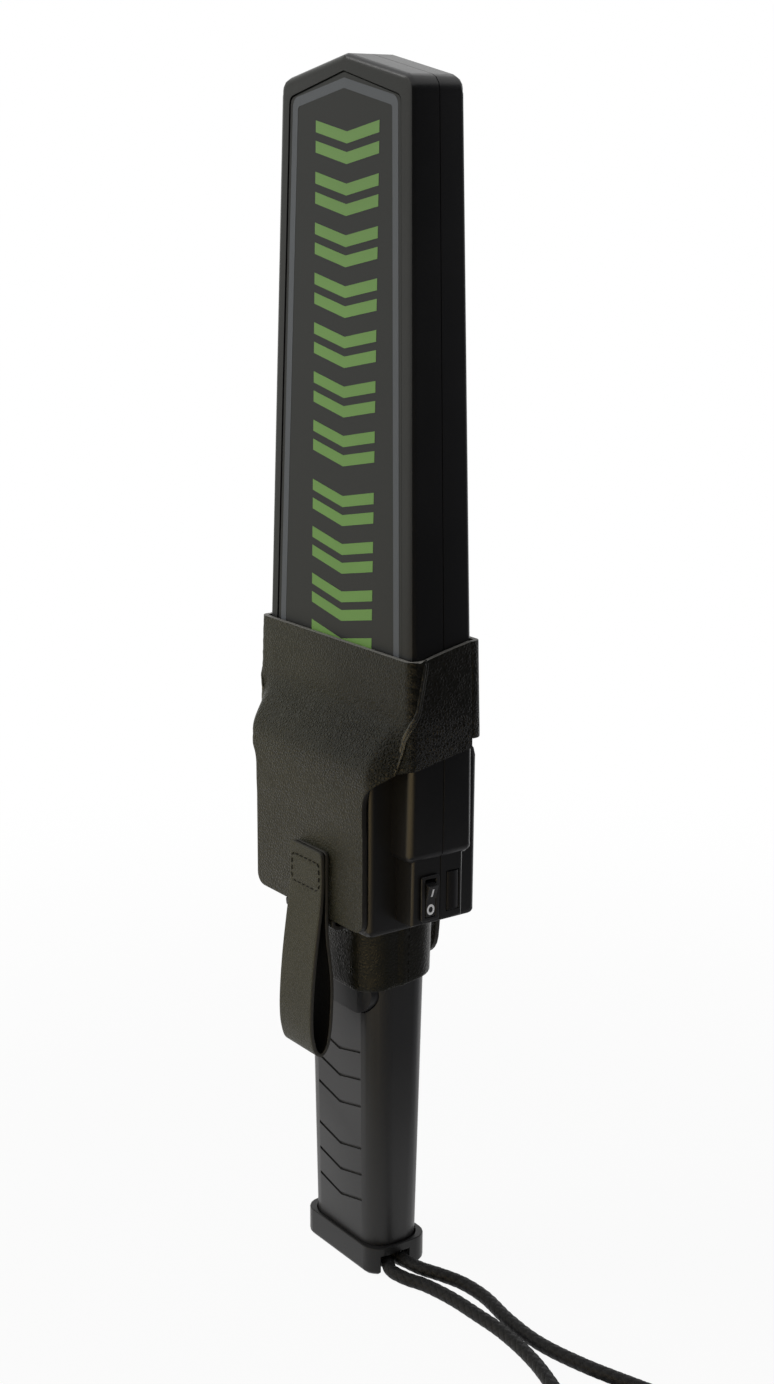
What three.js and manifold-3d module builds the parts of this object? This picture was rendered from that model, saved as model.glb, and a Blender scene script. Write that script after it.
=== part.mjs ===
// Hand-held security metal detector wand in a leather belt sleeve, standing on its end cap.
// Millimetres, +Z up along the wand, the labelled front faces -Y, the switch side faces +X,
// the origin is the middle of the end cap's flat bottom.

import * as THREE from 'three';
import { mergeVertices } from 'three/addons/utils/BufferGeometryUtils.js';
import Module from 'manifold-3d';

const wasm = await Module();
wasm.setup();

// Clearances shared by all pieces.
const GAP = 0.3;
const OVERRUN = 4;
const QUARTER = Math.PI / 2;
const DEGREE = Math.PI / 180;
const FULL_ROUND_SHARE = 0.999;

// The flat search paddle, which runs down beside the housing as two side blocks.
const PADDLE = {
  topZ: 410, peakRise: 7.5, lowZ: 200, bottomZ: 158.5,
  halfWidthTop: 35.4, halfWidthLow: 42.2,
  frontTop: 10.3, frontLow: 13.5, rearTop: 9.9, rearLow: 12.6,
  wall: 2.4, edge: 2.4, shoulderRadius: 5, bottomRadius: 3,
};
const shoulderZ = PADDLE.topZ - PADDLE.peakRise;

// The thicker electronics housing.
const HOUSING = {
  halfWidth: 32, depth: 22.3, bottomZ: 131.6, topZ: 194,
  wall: 2.4, edge: 2.4, topRadius: 7, bottomRadius: 2.6,
};

// The switch console that stands out of the housing's sides under the blocks.
const PAD = { faceX: 41, frontY: -11.3, rearY: 9.3, bottomZ: 136.8, wall: 1.4, edge: 0.8 };

// The printed label plates in their recesses.
const LABEL = {
  recessInset: 5.2, recessDepth: 1.2, recessRadius: 2.8, thickness: 0.6, bottomZ: 206, play: 0.5,
};

// The one-piece tubular grip, tapering down to the cap.
const GRIP = {
  topZ: 131.3, bottomZ: 8.7,
  halfWidthTop: 21.7, halfWidthBottom: 20.2, halfDepthTop: 12.5, halfDepthBottom: 10.6,
  radius: 8, wall: 1.5, cornerSteps: 5,
};

// The neck and flange with which the housing grips the tube.
const NECK = { inset: 2.2, play: 0.4, flangeGrowth: 2.4, flangeHeight: 2.4, rimHeight: 1.4 };

// V-shaped finger grooves, two groups of three, on both broad faces of the grip.
const GROOVE = {
  kinkHeights: [79.6, 69.4, 59.2, 43.2, 33.2, 23.4], halfSpan: 12.8, rise: 3, width: 1.1, depth: 0.7,
};

// The end cap with its lip, clips and cord recess.
const CAP = {
  lip: 1.7, lipTopZ: 10.4, floorZ: 8.4, edge: 1.2,
  clipHeight: 9, clipThickness: 2.2, clipHalfDepth: 3.6,
  recessFrontY: -8.4, recessRearY: 3.2, recessDepth: 9.6, recessTopZ: 7.2,
};

// The wrist cord, its steel pin and the ferrule that holds both of its ends.
const CORD = { diameter: 4.7, sides: 8, spacing: 5.1, frontY: -5.1 };
const FERRULE = { length: 5, height: 5.4, baseZ: 0.9, border: 0.5, pinHole: 1.45 };
const PIN = { radius: 1.15, bite: 2, sides: 12, backset: 2.5 };

// The wide thumb button under the neck band, and the key switch behind it.
const BUTTON = {
  centreZ: 105, halfLength: 19.3, halfHeight: 7.5, proud: 1.7, thickness: 2.2, play: 0.4, travel: 0.8,
  skirtY: -5, flangeHalfLength: 15, flangeHalfHeight: 9.2, flangeThickness: 1, stem: 4,
};
const KEY = { size: 6, height: 3.5, plungerRadius: 1.6, plungerProud: 1.3, plungerDepth: 1.4 };

// The main circuit board with its tongue down into the grip.
const BOARD = {
  rearY: 2.8, thickness: 1.6, halfWidth: 19, bottomZ: 142.5, topZ: 190,
  tongueHalfWidth: 9, tongueBottomZ: 94, postRadius: 2.4, postX: 14.5, postLowZ: 146.5, postHighZ: 186.5,
};

// Components on the board.
const CHIP = { size: 10, height: 1.5, x: -3, z: 158 };
const AMPLIFIER = { width: 6, length: 5, height: 1.6, x: 11, z: 172 };
const CAPACITOR = { radius: 3.2, length: 9, z: 150, xs: [-13, 11.5], sides: 16 };
const SOCKET = { width: 7, depth: 4.6, height: 5.5, z: 184, x: 11 };

// The vibration motor, its clip and its eccentric weight.
const MOTOR = {
  radius: 3.5, length: 14, startX: -16, z: 176, offBoard: 4.8, sides: 20,
  shaftRadius: 0.6, shaftBore: 0.95, weightRadius: 3, weightLength: 4, weightGap: 0.8, bite: 3,
  clipLength: 7, clipWall: 0.8, clipStart: 3.5,
};

// The three signal lamps behind a smoked window.
const LAMP = {
  radius: 1.5, length: 4.4, heights: [142.3, 146.5, 150.7], legs: 0.5, legSpread: 0.9, backX: 33.4,
};
const WINDOW = {
  frontY: 2.5, rearY: 7.8, lowZ: 139.6, highZ: 153.5, crown: 0.9, flange: 0.9, flangeDepth: 1,
};

// The on-off rocker switch.
const ROCKER = {
  frontY: -8.3, rearY: -1, lowZ: 138.2, highZ: 153.6, bezel: 0.8, bezelWall: 0.8, bodyDepth: 12,
  pivotInset: 2.3, tilt: 10 * DEGREE, end: 2.2, centre: 1.3, rootDepth: 1.5, rootHalf: 2.2,
  pinRadius: 0.7, borePlay: 0.3, sidePlay: 0.3, endPlay: 1, floorDepth: 6.5, shoulderDepth: 1.4,
};

// The 9 volt battery, its foam pad and its snap connector.
const BATTERY = {
  halfWidth: 13.25, halfDepth: 8.75, height: 48.5, edge: 1.6, studHeight: 2.9, studX: 6.35,
  smallStud: 2.9, largeStud: 4,
};
const FOAM = { thickness: 3, halfWidth: 12.4, halfDepth: 7.6 };
const SNAP = { halfWidth: 12.8, halfDepth: 6, height: 5, play: 0.4 };
const RIB = { thickness: 1.6, topZ: 64 };

// The search coil on its former.
const COIL = {
  halfWidth: 27, width: 6.5, halfDepth: 4, bottomZ: 238, headroom: 19, radius: 18,
  grooveHalf: 2.7, grooveDepth: 2.4, postRadius: 2.4, cornerSteps: 6,
};
const COIL_POST_SHARES = [0.157, 0.503, 0.85];
const coilTopZ = PADDLE.topZ - COIL.headroom;

// The loudspeaker in the rear of the housing.
const SPEAKER = {
  radius: 17.6, z: 166, rim: 1.2, basketDepth: 6, basketRadius: 14.5, magnetRadius: 9, magnetDepth: 4,
  wall: 0.9, cone: 0.6, coneDepth: 3.4, dustRadius: 5, ringWall: 1.3, ringDepth: 5, sides: 24,
};
const GRILLE = { slotWidth: 2, slotPitch: 4.4, count: 5, innerX: 11.6, length: 6.4 };

// Case screws, driven in from the rear; the top pair keeps its distance from the peak.
const PADDLE_SCREW_DROP = 38;
const SCREW = {
  shankRadius: 1.3, headRadius: 2.5, headHeight: 1.8, length: 12, bossRadius: 3.6, sides: 12,
  paddleTop: { x: 12.5, z: PADDLE.topZ - PADDLE_SCREW_DROP, seatY: 5.6 },
  paddleLow: { x: 33, z: 214, seatY: 8 },
  housing: { x: 25, z: 179, seatY: 9 },
};

// Leads inside the case.
const LEAD = { radius: 0.8, sides: 6, bowShare: 1.4 };

// Leather of the belt sleeve.
const LEATHER = { thickness: 1.8, strap: 1.4, fold: 1.2, edgeFold: 0.35, edgeDrop: 0.35 };
const SLEEVE = {
  frontTopZ: 226, rearTopZ: 230, rearBottomZ: 198, frontSeamTop: 3.4, seamStartZ: 197,
  riseTopZ: 207, riseBottomZ: 188, plateauX: 32.6, waistTopZ: 189, waistBottomZ: 177,
  lowHalfWidth: 31.2, bottomZ: 133.8, bottomRadius: 4,
  bandFrontLowZ: 189.5, bandRearLowZ: 195, seamEndZ: 190,
};
const FACE_SHARES = [-1, -0.9, -0.8, -0.7, -0.5, -0.25, 0, 0.25, 0.5, 0.7, 0.8, 0.9, 1];
const SIDE_SHARES = [0, 0.35, 0.7, 1];
const BAND = { thickness: 1.5, frontLowZ: 107.4, rearLowZ: 110.5, topZ: 131, tongueHalf: 14 };

// Belt loop: its strap's middle line as (Y, Z) places from the sewn top end round to the inner end.
const LOOP = { centreX: 3.4, halfWidth: 9.5, topZ: 157.3, lowZ: 85.6, neckZ: 129, swing: 4.6 };
const LOOP_DEPTH_SHARES = [0, 0, 0.14, 0.36, 0.72, 0.94, 0.98, 0.86, 0.52, 0.1, -0.34, -0.6, -0.76, -0.78];
const LOOP_HEIGHT_SHARES = [1, 0.83, 0.72, 0.62, 0.44, 0.27, 0.16, 0.08, 0.015, 0, 0.03, 0.1, 0.22, 0.36];

// Rear strap, hanging over the housing as a free tab.
const TAB = { halfWidth: 10, topZ: 223, lowZ: 109, hangZ: 131, drawIn: 1.8, endRadius: 7 };

// The wrist cord's route on the standing surface, chosen by hand from the photograph.
const CORD_ROUTE = [
  [24, -6.2, 2.75], [31, -5, 2.5], [38, -2.1, 2.4], [50, 0.2, 2.4], [63, 1, 2.4], [77, 1.3, 2.4],
  [96, -1.2, 2.4], [122, -9, 2.4], [148, -16, 2.4], [172, -15.5, 2.4], [190, -3, 2.4], [192, 14, 2.4],
  [179, 26, 2.4], [158, 27.5, 2.4], [132, 19, 2.4], [106, 10.4, 2.4], [88, 7, 2.4], [72, 7.6, 2.4],
  [56, 9.8, 2.6], [46, 8.4, 3.3], [39, 4.9, 4.2], [31.5, 1, 4.7], [24.5, -0.2, 4.5],
];

// Plain finishes, one per material.
const FINISH = {
  casing: [0x2b2b2e, 0.55, 0], grip: [0x4a4a4d, 0.6, 0], leather: [0x3b382f, 0.75, 0],
  label: [0x404040, 0.5, 0], lampGreen: [0x3fae49, 0.3, 0], lampAmber: [0xe0a030, 0.3, 0],
  lampRed: [0xc23b2e, 0.3, 0], smoked: [0x303036, 0.2, 0], black: [0x18181a, 0.5, 0],
  steel: [0xb8babd, 0.35, 1], board: [0x1f5a36, 0.6, 0], copper: [0xb26b3c, 0.4, 0.9],
  battery: [0x6d7075, 0.4, 0.6], foam: [0x2e2e30, 0.95, 0], cord: [0x161617, 0.85, 0],
  red: [0x9c2420, 0.5, 0], paper: [0x2a2a2a, 0.9, 0], former: [0xd8d4c8, 0.6, 0],
};

const wand = new THREE.Group();
wand.name = 'metal_detector_wand';

// Solids, outlines and placing.

function solidOf(geometry) {
  const bare = geometry.index ? geometry.toNonIndexed() : geometry.clone();
  bare.deleteAttribute('normal');
  bare.deleteAttribute('uv');
  const merged = mergeVertices(bare, GAP / 1000);
  return new wasm.Manifold(new wasm.Mesh({
    numProp: 3,
    vertProperties: new Float32Array(merged.attributes.position.array),
    triVerts: new Uint32Array(merged.index.array),
  }));
}

function geometryOf(solid) {
  const mesh = solid.getMesh();
  const geometry = new THREE.BufferGeometry();
  geometry.setAttribute('position', new THREE.BufferAttribute(new Float32Array(mesh.vertProperties), 3));
  geometry.setIndex(new THREE.BufferAttribute(new Uint32Array(mesh.triVerts), 1));
  geometry.computeVertexNormals();
  return geometry;
}

function addPiece(name, solid, finish, group = wand) {
  const [color, roughness, metalness] = FINISH[finish];
  const material = new THREE.MeshStandardMaterial({ color, roughness, metalness });
  const mesh = new THREE.Mesh(geometryOf(solid), material);
  mesh.name = name;
  group.add(mesh);
  return mesh;
}

function joined(solids) {
  return solids.reduce((whole, solid) => whole.add(solid));
}

function box(x0, x1, y0, y1, z0, z1) {
  const geometry = new THREE.BoxGeometry(x1 - x0, y1 - y0, z1 - z0);
  geometry.translate((x0 + x1) / 2, (y0 + y1) / 2, (z0 + z1) / 2);
  return solidOf(geometry);
}

// A cylinder of the given radius between two values on one axis, at (a, b) on the other two.
function cylinderX(radius, x0, x1, y, z, sides = 20) {
  const geometry = new THREE.CylinderGeometry(radius, radius, x1 - x0, sides);
  geometry.rotateZ(-QUARTER);
  geometry.translate((x0 + x1) / 2, y, z);
  return solidOf(geometry);
}

function cylinderY(radius, y0, y1, x, z, sides = 20) {
  const geometry = new THREE.CylinderGeometry(radius, radius, y1 - y0, sides);
  geometry.translate(x, (y0 + y1) / 2, z);
  return solidOf(geometry);
}

function cylinderZ(radius, z0, z1, x, y, sides = 20) {
  const geometry = new THREE.CylinderGeometry(radius, radius, z1 - z0, sides);
  geometry.rotateX(QUARTER);
  geometry.translate(x, y, (z0 + z1) / 2);
  return solidOf(geometry);
}

// An outline whose corners are cut to arcs; each corner is [a, b, radius].
function roundedOutline(corners, steps = 3) {
  const points = [];
  corners.forEach(([a, b, radius = 0], i) => {
    const corner = new THREE.Vector2(a, b);
    if (radius === 0) {
      points.push(corner);
      return;
    }
    const [beforeA, beforeB] = corners.at(i - 1);
    const [afterA, afterB] = corners[(i + 1) % corners.length];
    const before = new THREE.Vector2(beforeA, beforeB).sub(corner).normalize();
    const after = new THREE.Vector2(afterA, afterB).sub(corner).normalize();
    const half = Math.acos(THREE.MathUtils.clamp(before.dot(after), -1, 1)) / 2;
    const reach = radius / Math.tan(half);
    const start = corner.clone().addScaledVector(before, reach);
    const centre = corner.clone().addScaledVector(before.clone().add(after).normalize(),
      radius / Math.sin(half));
    const end = corner.clone().addScaledVector(after, reach);
    const from = Math.atan2(start.y - centre.y, start.x - centre.x);
    let sweep = Math.atan2(end.y - centre.y, end.x - centre.x) - from;
    sweep -= 2 * Math.PI * Math.round(sweep / (2 * Math.PI));
    for (let k = 0; k <= steps; k += 1) {
      const angle = from + (sweep * k) / steps;
      points.push(new THREE.Vector2(centre.x + radius * Math.cos(angle),
        centre.y + radius * Math.sin(angle)));
    }
  });
  return points;
}

function rectangle(a0, a1, b0, b1, radius = 0) {
  return [[a0, b0, radius], [a1, b0, radius], [a1, b1, radius], [a0, b1, radius]];
}

function stadium(a, b, halfLength, halfHeight) {
  return roundedOutline(rectangle(a - halfLength, a + halfLength, b - halfHeight, b + halfHeight,
    halfHeight * FULL_ROUND_SHARE), 8);
}

// An outline extruded to a slab; edge rounds both of its broad faces' borders.
function slab(points, depth, edge = 0, hole = null) {
  const shape = new THREE.Shape(points);
  if (hole) shape.holes.push(new THREE.Path(hole));
  const geometry = new THREE.ExtrudeGeometry(shape, {
    depth: depth - 2 * edge, steps: 1, bevelEnabled: edge > 0,
    bevelThickness: edge, bevelSize: edge, bevelOffset: -edge, bevelSegments: 2,
  });
  geometry.translate(0, 0, edge);
  return geometry;
}

// Slabs standing across one axis: outlines in (X, Z) along Y, in (Y, Z) along X, in (X, Y) along Z.
function slabY(points, y0, y1, edge = 0, hole = null) {
  const geometry = slab(points, y1 - y0, edge, hole);
  geometry.rotateX(QUARTER);
  geometry.translate(0, y1, 0);
  return geometry;
}

function slabX(points, x0, x1, edge = 0) {
  const geometry = slab(points, x1 - x0, edge);
  const turn = new THREE.Matrix4().makeBasis(
    new THREE.Vector3(0, 1, 0), new THREE.Vector3(0, 0, 1), new THREE.Vector3(1, 0, 0),
  );
  geometry.applyMatrix4(turn);
  geometry.translate(x0, 0, 0);
  return geometry;
}

function slabZ(points, z0, z1, edge = 0, hole = null) {
  const geometry = slab(points, z1 - z0, edge, hole);
  geometry.translate(0, 0, z0);
  return geometry;
}

// A closed skin over rings of equally many points, each ring flat and convex.
function loft(rings) {
  const count = rings[0].length;
  const positions = rings.flat().flatMap((point) => [point.x, point.y, point.z]);
  const index = [];
  for (let r = 0; r + 1 < rings.length; r += 1) {
    for (let i = 0; i < count; i += 1) {
      const a = r * count + i;
      const b = r * count + ((i + 1) % count);
      index.push(a, b, b + count, a, b + count, a + count);
    }
  }
  const last = (rings.length - 1) * count;
  for (let i = 1; i + 1 < count; i += 1) {
    index.push(0, i + 1, i, last, last + i, last + i + 1);
  }
  const geometry = new THREE.BufferGeometry();
  geometry.setAttribute('position', new THREE.Float32BufferAttribute(positions, 3));
  geometry.setIndex(index);
  return geometry;
}

// A sheet of even thickness over a grid of places on its inner face, grid[row][column].
function sheet(grid, thickness) {
  const rows = grid.length;
  const columns = grid[0].length;
  const along = (r, c) => grid[Math.min(r + 1, rows - 1)][c].clone().sub(grid[Math.max(r - 1, 0)][c]);
  const across = (r, c) => grid[r][Math.min(c + 1, columns - 1)].clone().sub(grid[r][Math.max(c - 1, 0)]);
  const outer = grid.map((row, r) => row.map((point, c) => (
    point.clone().addScaledVector(across(r, c).cross(along(r, c)).normalize(), thickness)
  )));
  const positions = [...grid.flat(), ...outer.flat()].flatMap((point) => [point.x, point.y, point.z]);
  const index = [];
  const inner = (r, c) => r * columns + c;
  const outside = (r, c) => rows * columns + r * columns + c;
  const quad = (a, b, c, d) => index.push(a, b, c, a, c, d);
  for (let r = 0; r + 1 < rows; r += 1) {
    for (let c = 0; c + 1 < columns; c += 1) {
      quad(outside(r, c), outside(r, c + 1), outside(r + 1, c + 1), outside(r + 1, c));
      quad(inner(r, c), inner(r + 1, c), inner(r + 1, c + 1), inner(r, c + 1));
    }
    quad(inner(r, 0), outside(r, 0), outside(r + 1, 0), inner(r + 1, 0));
    quad(inner(r, columns - 1), inner(r + 1, columns - 1), outside(r + 1, columns - 1),
      outside(r, columns - 1));
  }
  for (let c = 0; c + 1 < columns; c += 1) {
    quad(inner(0, c), inner(0, c + 1), outside(0, c + 1), outside(0, c));
    quad(inner(rows - 1, c), outside(rows - 1, c), outside(rows - 1, c + 1), inner(rows - 1, c + 1));
  }
  const geometry = new THREE.BufferGeometry();
  geometry.setAttribute('position', new THREE.Float32BufferAttribute(positions, 3));
  geometry.setIndex(index);
  return geometry;
}

// A round section swept along a smooth route.
function tube(route, radius, sides, steps) {
  const curve = new THREE.CatmullRomCurve3(route.map((place) => new THREE.Vector3(...place)), false,
    'centripetal');
  const ring = [];
  for (let i = 0; i < sides; i += 1) {
    const angle = (2 * Math.PI * i) / sides;
    ring.push(new THREE.Vector2(radius * Math.cos(angle), radius * Math.sin(angle)));
  }
  return solidOf(new THREE.ExtrudeGeometry(new THREE.Shape(ring), { steps, extrudePath: curve }));
}

function smooth(value, from, to) {
  return THREE.MathUtils.smoothstep(value, Math.min(from, to), Math.max(from, to));
}

function mirrored(points) {
  return points.map((point) => [-point[0], ...point.slice(1)]).reverse();
}

// The paddle's form.

function paddleHalfWidth(z) {
  const share = THREE.MathUtils.clamp((z - PADDLE.lowZ) / (shoulderZ - PADDLE.lowZ), 0, 1);
  return THREE.MathUtils.lerp(PADDLE.halfWidthLow, PADDLE.halfWidthTop, share);
}

function depthShare(z) {
  return (z - PADDLE.bottomZ) / (shoulderZ - PADDLE.bottomZ);
}

function frontDepth(z) {
  return THREE.MathUtils.lerp(PADDLE.frontLow, PADDLE.frontTop, depthShare(z));
}

function rearDepth(z) {
  return THREE.MathUtils.lerp(PADDLE.rearLow, PADDLE.rearTop, depthShare(z));
}

// The house-shaped outline in (X, Z), drawn in by an inset.
function paddleOutline(inset, bottomZ, leastRadius = PADDLE.edge / 2) {
  const top = Math.max(PADDLE.shoulderRadius - inset, leastRadius);
  const low = Math.max(PADDLE.bottomRadius - inset, leastRadius);
  const half = [
    [paddleHalfWidth(bottomZ) - inset, bottomZ, low],
    ...(bottomZ < PADDLE.lowZ ? [[PADDLE.halfWidthLow - inset, PADDLE.lowZ]] : []),
    [PADDLE.halfWidthTop - inset, shoulderZ - inset, top],
  ];
  return roundedOutline([...half, [0, PADDLE.topZ - inset, top], ...mirrored(half)]);
}

// A plate between two faces that are given as functions of height.
function taperedPlate(points, frontFace, rearFace) {
  const geometry = slabY(points, -GAP, GAP);
  const position = geometry.attributes.position;
  for (let i = 0; i < position.count; i += 1) {
    const z = position.getZ(i);
    position.setY(i, position.getY(i) < 0 ? frontFace(z) : rearFace(z));
  }
  return solidOf(geometry);
}

// The paddle's outer form with rounded borders, its depth scaled along Z.
function taperedBevel(points, edge) {
  const geometry = slabY(points, -PADDLE.frontLow, PADDLE.rearLow, edge);
  const position = geometry.attributes.position;
  for (let i = 0; i < position.count; i += 1) {
    const y = position.getY(i);
    const z = position.getZ(i);
    position.setY(i, y < 0 ? (y * frontDepth(z)) / PADDLE.frontLow : (y * rearDepth(z)) / PADDLE.rearLow);
  }
  return solidOf(geometry);
}

// The case: outer form and hollow, which both shells share.

const frontInside = (z) => -(frontDepth(z) - PADDLE.wall);
const rearInside = (z) => rearDepth(z) - PADDLE.wall;

function housingProfile(inset) {
  const depth = HOUSING.depth - inset;
  return roundedOutline([
    [-depth, HOUSING.bottomZ + inset, HOUSING.bottomRadius],
    [depth, HOUSING.bottomZ + inset, HOUSING.bottomRadius],
    [depth, HOUSING.topZ - inset, HOUSING.topRadius],
    [-depth, HOUSING.topZ - inset, HOUSING.topRadius],
  ]);
}

function caseOuter() {
  const paddle = taperedBevel(paddleOutline(0, PADDLE.bottomZ), PADDLE.edge);
  const housing = solidOf(slabX(housingProfile(0), -HOUSING.halfWidth, HOUSING.halfWidth, HOUSING.edge));
  const consoleTop = PADDLE.bottomZ + PADDLE.bottomRadius;
  const consoleOutline = roundedOutline(rectangle(PAD.frontY, PAD.rearY, PAD.bottomZ, consoleTop));
  const console = slabX(consoleOutline, -PAD.faceX, PAD.faceX, PAD.edge);
  return joined([paddle, housing, solidOf(console)]);
}

function caseHollow() {
  const outline = paddleOutline(PADDLE.wall, PADDLE.bottomZ + PADDLE.wall);
  const paddle = taperedPlate(outline, frontInside, rearInside);
  const halfWidth = HOUSING.halfWidth - HOUSING.wall;
  const housing = solidOf(slabX(housingProfile(HOUSING.wall), -halfWidth, halfWidth));
  const padHollow = PAD.faceX - PAD.wall;
  const console = box(-padHollow, padHollow, PAD.frontY + PAD.wall, PAD.rearY - PAD.wall,
    PAD.bottomZ + PAD.wall, PADDLE.bottomZ + PADDLE.wall + OVERRUN);
  const neck = neckSection(NECK.play);
  const opening = solidOf(slabZ(neck, HOUSING.bottomZ - OVERRUN, HOUSING.bottomZ + HOUSING.wall + OVERRUN));
  return joined([paddle, housing, console, opening]);
}

function neckSection(growth) {
  const halfWidth = GRIP.halfWidthTop - NECK.inset + growth;
  const halfDepth = GRIP.halfDepthTop - NECK.inset + growth;
  return roundedOutline(rectangle(-halfWidth, halfWidth, -halfDepth, halfDepth, GRIP.radius - NECK.inset));
}

const screwPlaces = [
  { ...SCREW.paddleTop, x: -SCREW.paddleTop.x }, SCREW.paddleTop,
  { ...SCREW.paddleLow, x: -SCREW.paddleLow.x }, SCREW.paddleLow,
  { ...SCREW.housing, x: -SCREW.housing.x }, SCREW.housing,
];

// Inner faces of the two broad walls where a post stands.
function frontWallAt(z) {
  return z < HOUSING.topZ ? -(HOUSING.depth - HOUSING.wall) : frontInside(z);
}

function rearWallAt(z) {
  return z < HOUSING.topZ ? HOUSING.depth - HOUSING.wall : rearInside(z);
}

const coilPosts = COIL_POST_SHARES.flatMap((share) => [-1, 1].map((side) => (
  { x: side * (COIL.halfWidth - COIL.width / 2), z: THREE.MathUtils.lerp(COIL.bottomZ, coilTopZ, share) }
)));
const boardPosts = [BOARD.postLowZ, BOARD.postHighZ].flatMap((z) => [-1, 1].map((side) => (
  { x: side * BOARD.postX, z }
)));

function labelRecess(side) {
  const outline = paddleOutline(LABEL.recessInset, LABEL.bottomZ - LABEL.play, LABEL.recessRadius);
  if (side < 0) {
    return taperedPlate(outline, (z) => -(frontDepth(z) + OVERRUN),
      (z) => -(frontDepth(z) - LABEL.recessDepth));
  }
  return taperedPlate(outline, (z) => rearDepth(z) - LABEL.recessDepth, (z) => rearDepth(z) + OVERRUN);
}

function frontShell(outer, hollow) {
  const halfSpace = box(-PADDLE.topZ, PADDLE.topZ, -PADDLE.topZ, -GAP / 2, -OVERRUN, PADDLE.topZ + OVERRUN);
  const posts = [
    ...coilPosts.map(({ x, z }) => (
      cylinderY(COIL.postRadius, frontWallAt(z) - PADDLE.wall / 2, -(COIL.halfDepth + GAP), x, z,
        SCREW.sides))),
    ...screwPlaces.map(({ x, z }) => (
      cylinderY(SCREW.bossRadius, frontWallAt(z) - PADDLE.wall / 2, -GAP / 2, x, z, SCREW.sides))),
  ];
  const pilots = screwPlaces.map(({ x, z, seatY }) => (
    cylinderY(SCREW.shankRadius + GAP, seatY - SCREW.length - GAP, OVERRUN, x, z, SCREW.sides)));
  return joined([outer.subtract(hollow), ...posts]).intersect(halfSpace)
    .subtract(joined(pilots)).subtract(labelRecess(-1)).subtract(rockerOpening());
}

function rearShell(outer, hollow) {
  const halfSpace = box(-PADDLE.topZ, PADDLE.topZ, GAP / 2, PADDLE.topZ, -OVERRUN, PADDLE.topZ + OVERRUN);
  const speakerY = HOUSING.depth - HOUSING.wall;
  const ringRadius = SPEAKER.radius + GAP;
  const ring = cylinderY(ringRadius + SPEAKER.ringWall, speakerY - SPEAKER.ringDepth,
    speakerY + HOUSING.wall / 2,
    0, SPEAKER.z, SPEAKER.sides)
    .subtract(cylinderY(ringRadius, speakerY - SPEAKER.ringDepth - OVERRUN, speakerY, 0, SPEAKER.z,
      SPEAKER.sides));
  const posts = [
    ...coilPosts.map(({ x, z }) => (
      cylinderY(COIL.postRadius, COIL.halfDepth + GAP, rearWallAt(z) + PADDLE.wall / 2, x, z,
        SCREW.sides))),
    ...screwPlaces.map(({ x, z }) => (
      cylinderY(SCREW.bossRadius, GAP / 2, rearWallAt(z) + PADDLE.wall / 2, x, z, SCREW.sides))),
    ...boardPosts.map(({ x, z }) => (
      cylinderY(BOARD.postRadius, BOARD.rearY + GAP, rearWallAt(z) + PADDLE.wall / 2, x, z, SCREW.sides))),
  ];
  const bores = screwPlaces.flatMap(({ x, z, seatY }) => [
    cylinderY(SCREW.shankRadius + GAP, -OVERRUN, seatY + OVERRUN, x, z, SCREW.sides),
    cylinderY(SCREW.headRadius + GAP, seatY, HOUSING.depth + OVERRUN, x, z, SCREW.sides),
  ]);
  const slots = [];
  for (let i = 0; i < GRILLE.count; i += 1) {
    const z = SPEAKER.z + (i - (GRILLE.count - 1) / 2) * GRILLE.slotPitch;
    for (const side of [-1, 1]) {
      const middle = side * (GRILLE.innerX + GRILLE.length / 2);
      slots.push(box(middle - GRILLE.length / 2, middle + GRILLE.length / 2, speakerY - GAP,
        HOUSING.depth + OVERRUN, z - GRILLE.slotWidth / 2, z + GRILLE.slotWidth / 2));
    }
  }
  const window = box(PAD.faceX - PAD.wall - GAP, PAD.faceX + OVERRUN, WINDOW.frontY, WINDOW.rearY,
    WINDOW.lowZ, WINDOW.highZ);
  return joined([outer.subtract(hollow), ...posts, ring]).intersect(halfSpace)
    .subtract(joined(bores)).subtract(labelRecess(1)).subtract(joined(slots)).subtract(window);
}

function rockerOpening() {
  const wall = ROCKER.bezelWall - GAP;
  return box(PAD.faceX - PAD.wall - GAP, PAD.faceX + OVERRUN, ROCKER.frontY + wall, ROCKER.rearY - wall,
    ROCKER.lowZ + wall, ROCKER.highZ - wall);
}

// A printed plate that fills a recess.
function labelPlate(side) {
  const outline = paddleOutline(LABEL.recessInset + LABEL.play, LABEL.bottomZ,
    LABEL.recessRadius - LABEL.play);
  const floor = LABEL.recessDepth - GAP;
  const face = floor - LABEL.thickness;
  if (side < 0) {
    return taperedPlate(outline, (z) => -(frontDepth(z) - face), (z) => -(frontDepth(z) - floor));
  }
  return taperedPlate(outline, (z) => rearDepth(z) - floor, (z) => rearDepth(z) - face);
}

// The grip.

function gripHalf(z) {
  const share = (z - GRIP.bottomZ) / (GRIP.topZ - GRIP.bottomZ);
  return [
    THREE.MathUtils.lerp(GRIP.halfWidthBottom, GRIP.halfWidthTop, share),
    THREE.MathUtils.lerp(GRIP.halfDepthBottom, GRIP.halfDepthTop, share),
  ];
}

// The tube's section at a height, grown outwards; its front may stand further out.
function gripRing(z, growth, frontGrowth = growth, lean = 0) {
  const [halfWidth, halfDepth] = gripHalf(z);
  const corners = rectangle(-halfWidth - growth, halfWidth + growth, -halfDepth - frontGrowth,
    halfDepth + growth, GRIP.radius + growth);
  return roundedOutline(corners, GRIP.cornerSteps)
    .map(({ x, y }) => new THREE.Vector3(x, y, z + (lean * (y + halfDepth)) / (2 * halfDepth)));
}

function gripForm(growth, z0 = GRIP.bottomZ, z1 = GRIP.topZ) {
  return solidOf(loft([gripRing(z0, growth), gripRing(z1, growth)]));
}

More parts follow.
